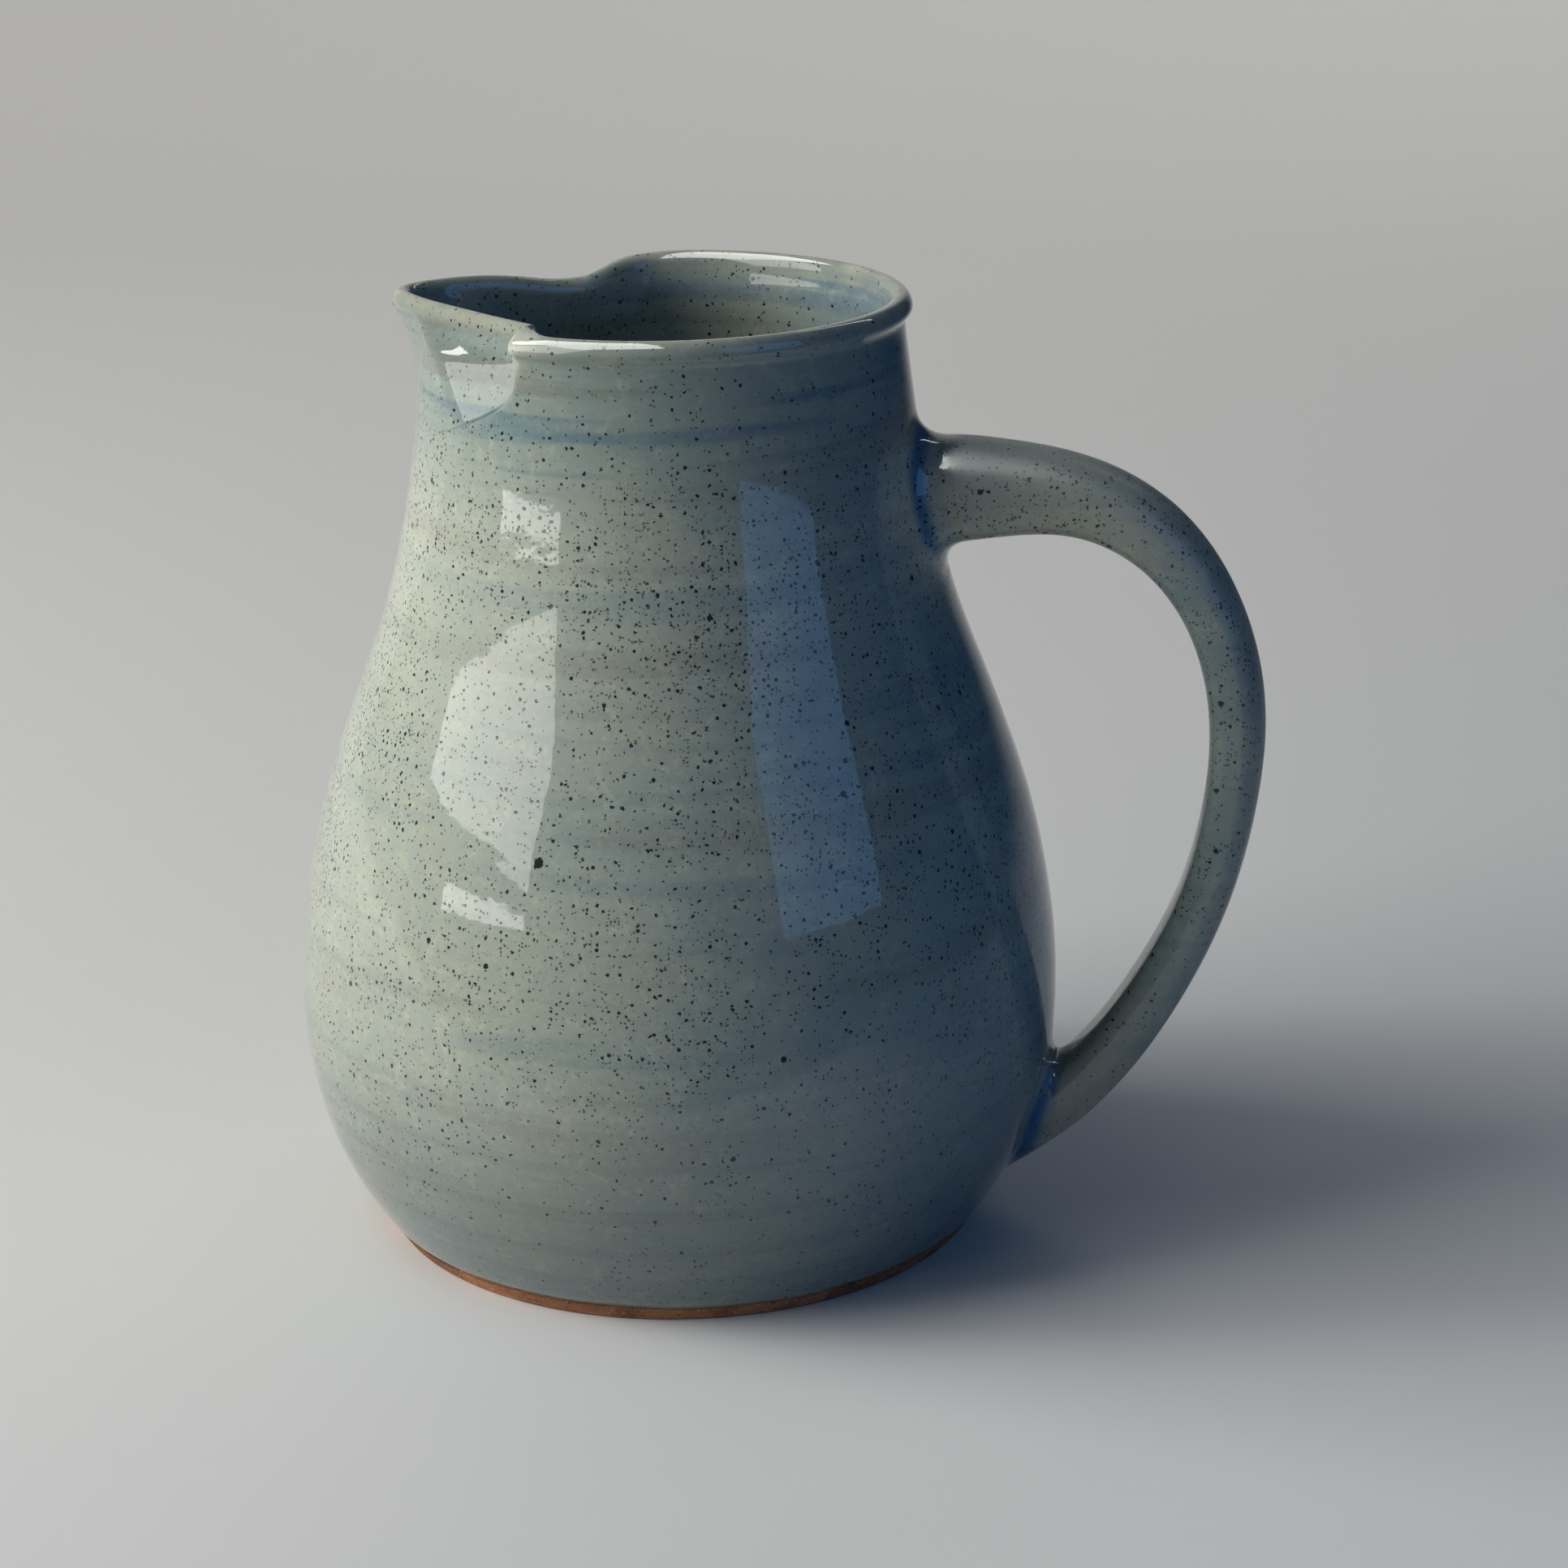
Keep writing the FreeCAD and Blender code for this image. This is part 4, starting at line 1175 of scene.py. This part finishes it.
def light_studio():
    """Windows at the left, with a low bright sill, a dim blue window at the right and a backdrop lamp.

    The main window is two lights: one stands where its reflection is seen, and one where the shadow
    points away from. The sky and the glint that it leaves on the lip are two lights for the same reason.
    The numbers are bearing, width, lowest and highest elevation, and radiance.
    """
    seen_only_in_reflections(window("key_window", -69.0, 46.0, 9.5, 50.0, 3.9, (1.0, 0.98, 0.94)))
    never_mirrored(window("soft_key", -76.0, 32.0, 9.0, 42.0, 6.8, DAYLIGHT))
    never_mirrored(window("front_fill", -50.0, 30.0, 8.0, 30.0, 1.3, DAYLIGHT))
    never_mirrored(window("side_window", -99.0, 28.0, 5.0, 33.0, 10.6, (1.0, 0.96, 0.91), distance=6000.0))
    window("bright_sill", -61.5, 29.0, 3.5, 4.8, 5.6, (1.0, 0.98, 0.94), lean=6.0)
    window("blue_window", 47.0, 34.0, 4.0, 40.0, 0.95, (0.22, 0.54, 1.2))
    never_mirrored(window("skylight", -90.0, 32.0, 56.0, 78.0, 1.6, (0.78, 0.90, 1.0)))
    seen_only_in_reflections(window("high_window", -86.0, 60.0, 52.0, 88.0, 9.5, (0.98, 1.0, 0.98)))
    backdrop = turned(1000, 1300, 1500)
    aim = backdrop + turned(-150, 800, -1100)
    area_light("backdrop_lamp", backdrop, aim, (1.2, 0.6), 9.5, (0.98, 0.98, 1.0))
    light_room()
    bpy.context.scene.view_settings.view_transform = "Standard"


def light_room():
    """The dim blue room. Where the camera looks past the sweep it sees the same pale grey as the paper."""
    world = bpy.data.worlds.new("room")
    world.use_nodes = True
    tree = world.node_tree
    path = tree.nodes.new("ShaderNodeLightPath")
    colour = tree.nodes.new("ShaderNodeMix")
    colour.data_type = "RGBA"
    tree.links.new(path.outputs["Is Camera Ray"], colour.inputs[0])
    colour.inputs[6].default_value = ROOM_COLOUR
    colour.inputs[7].default_value = PAPER_BEYOND
    tree.links.new(colour.outputs[2], tree.nodes["Background"].inputs["Color"])
    bpy.context.scene.world = world


# ---------------------------------------------------------------- the scene

glazed, bare = build_pieces()
glaze = glaze_material()
for piece in glazed:
    piece.data.materials.append(glaze)
bare.data.materials.append(clay_material())
make_sweep()
light_studio()
make_camera()
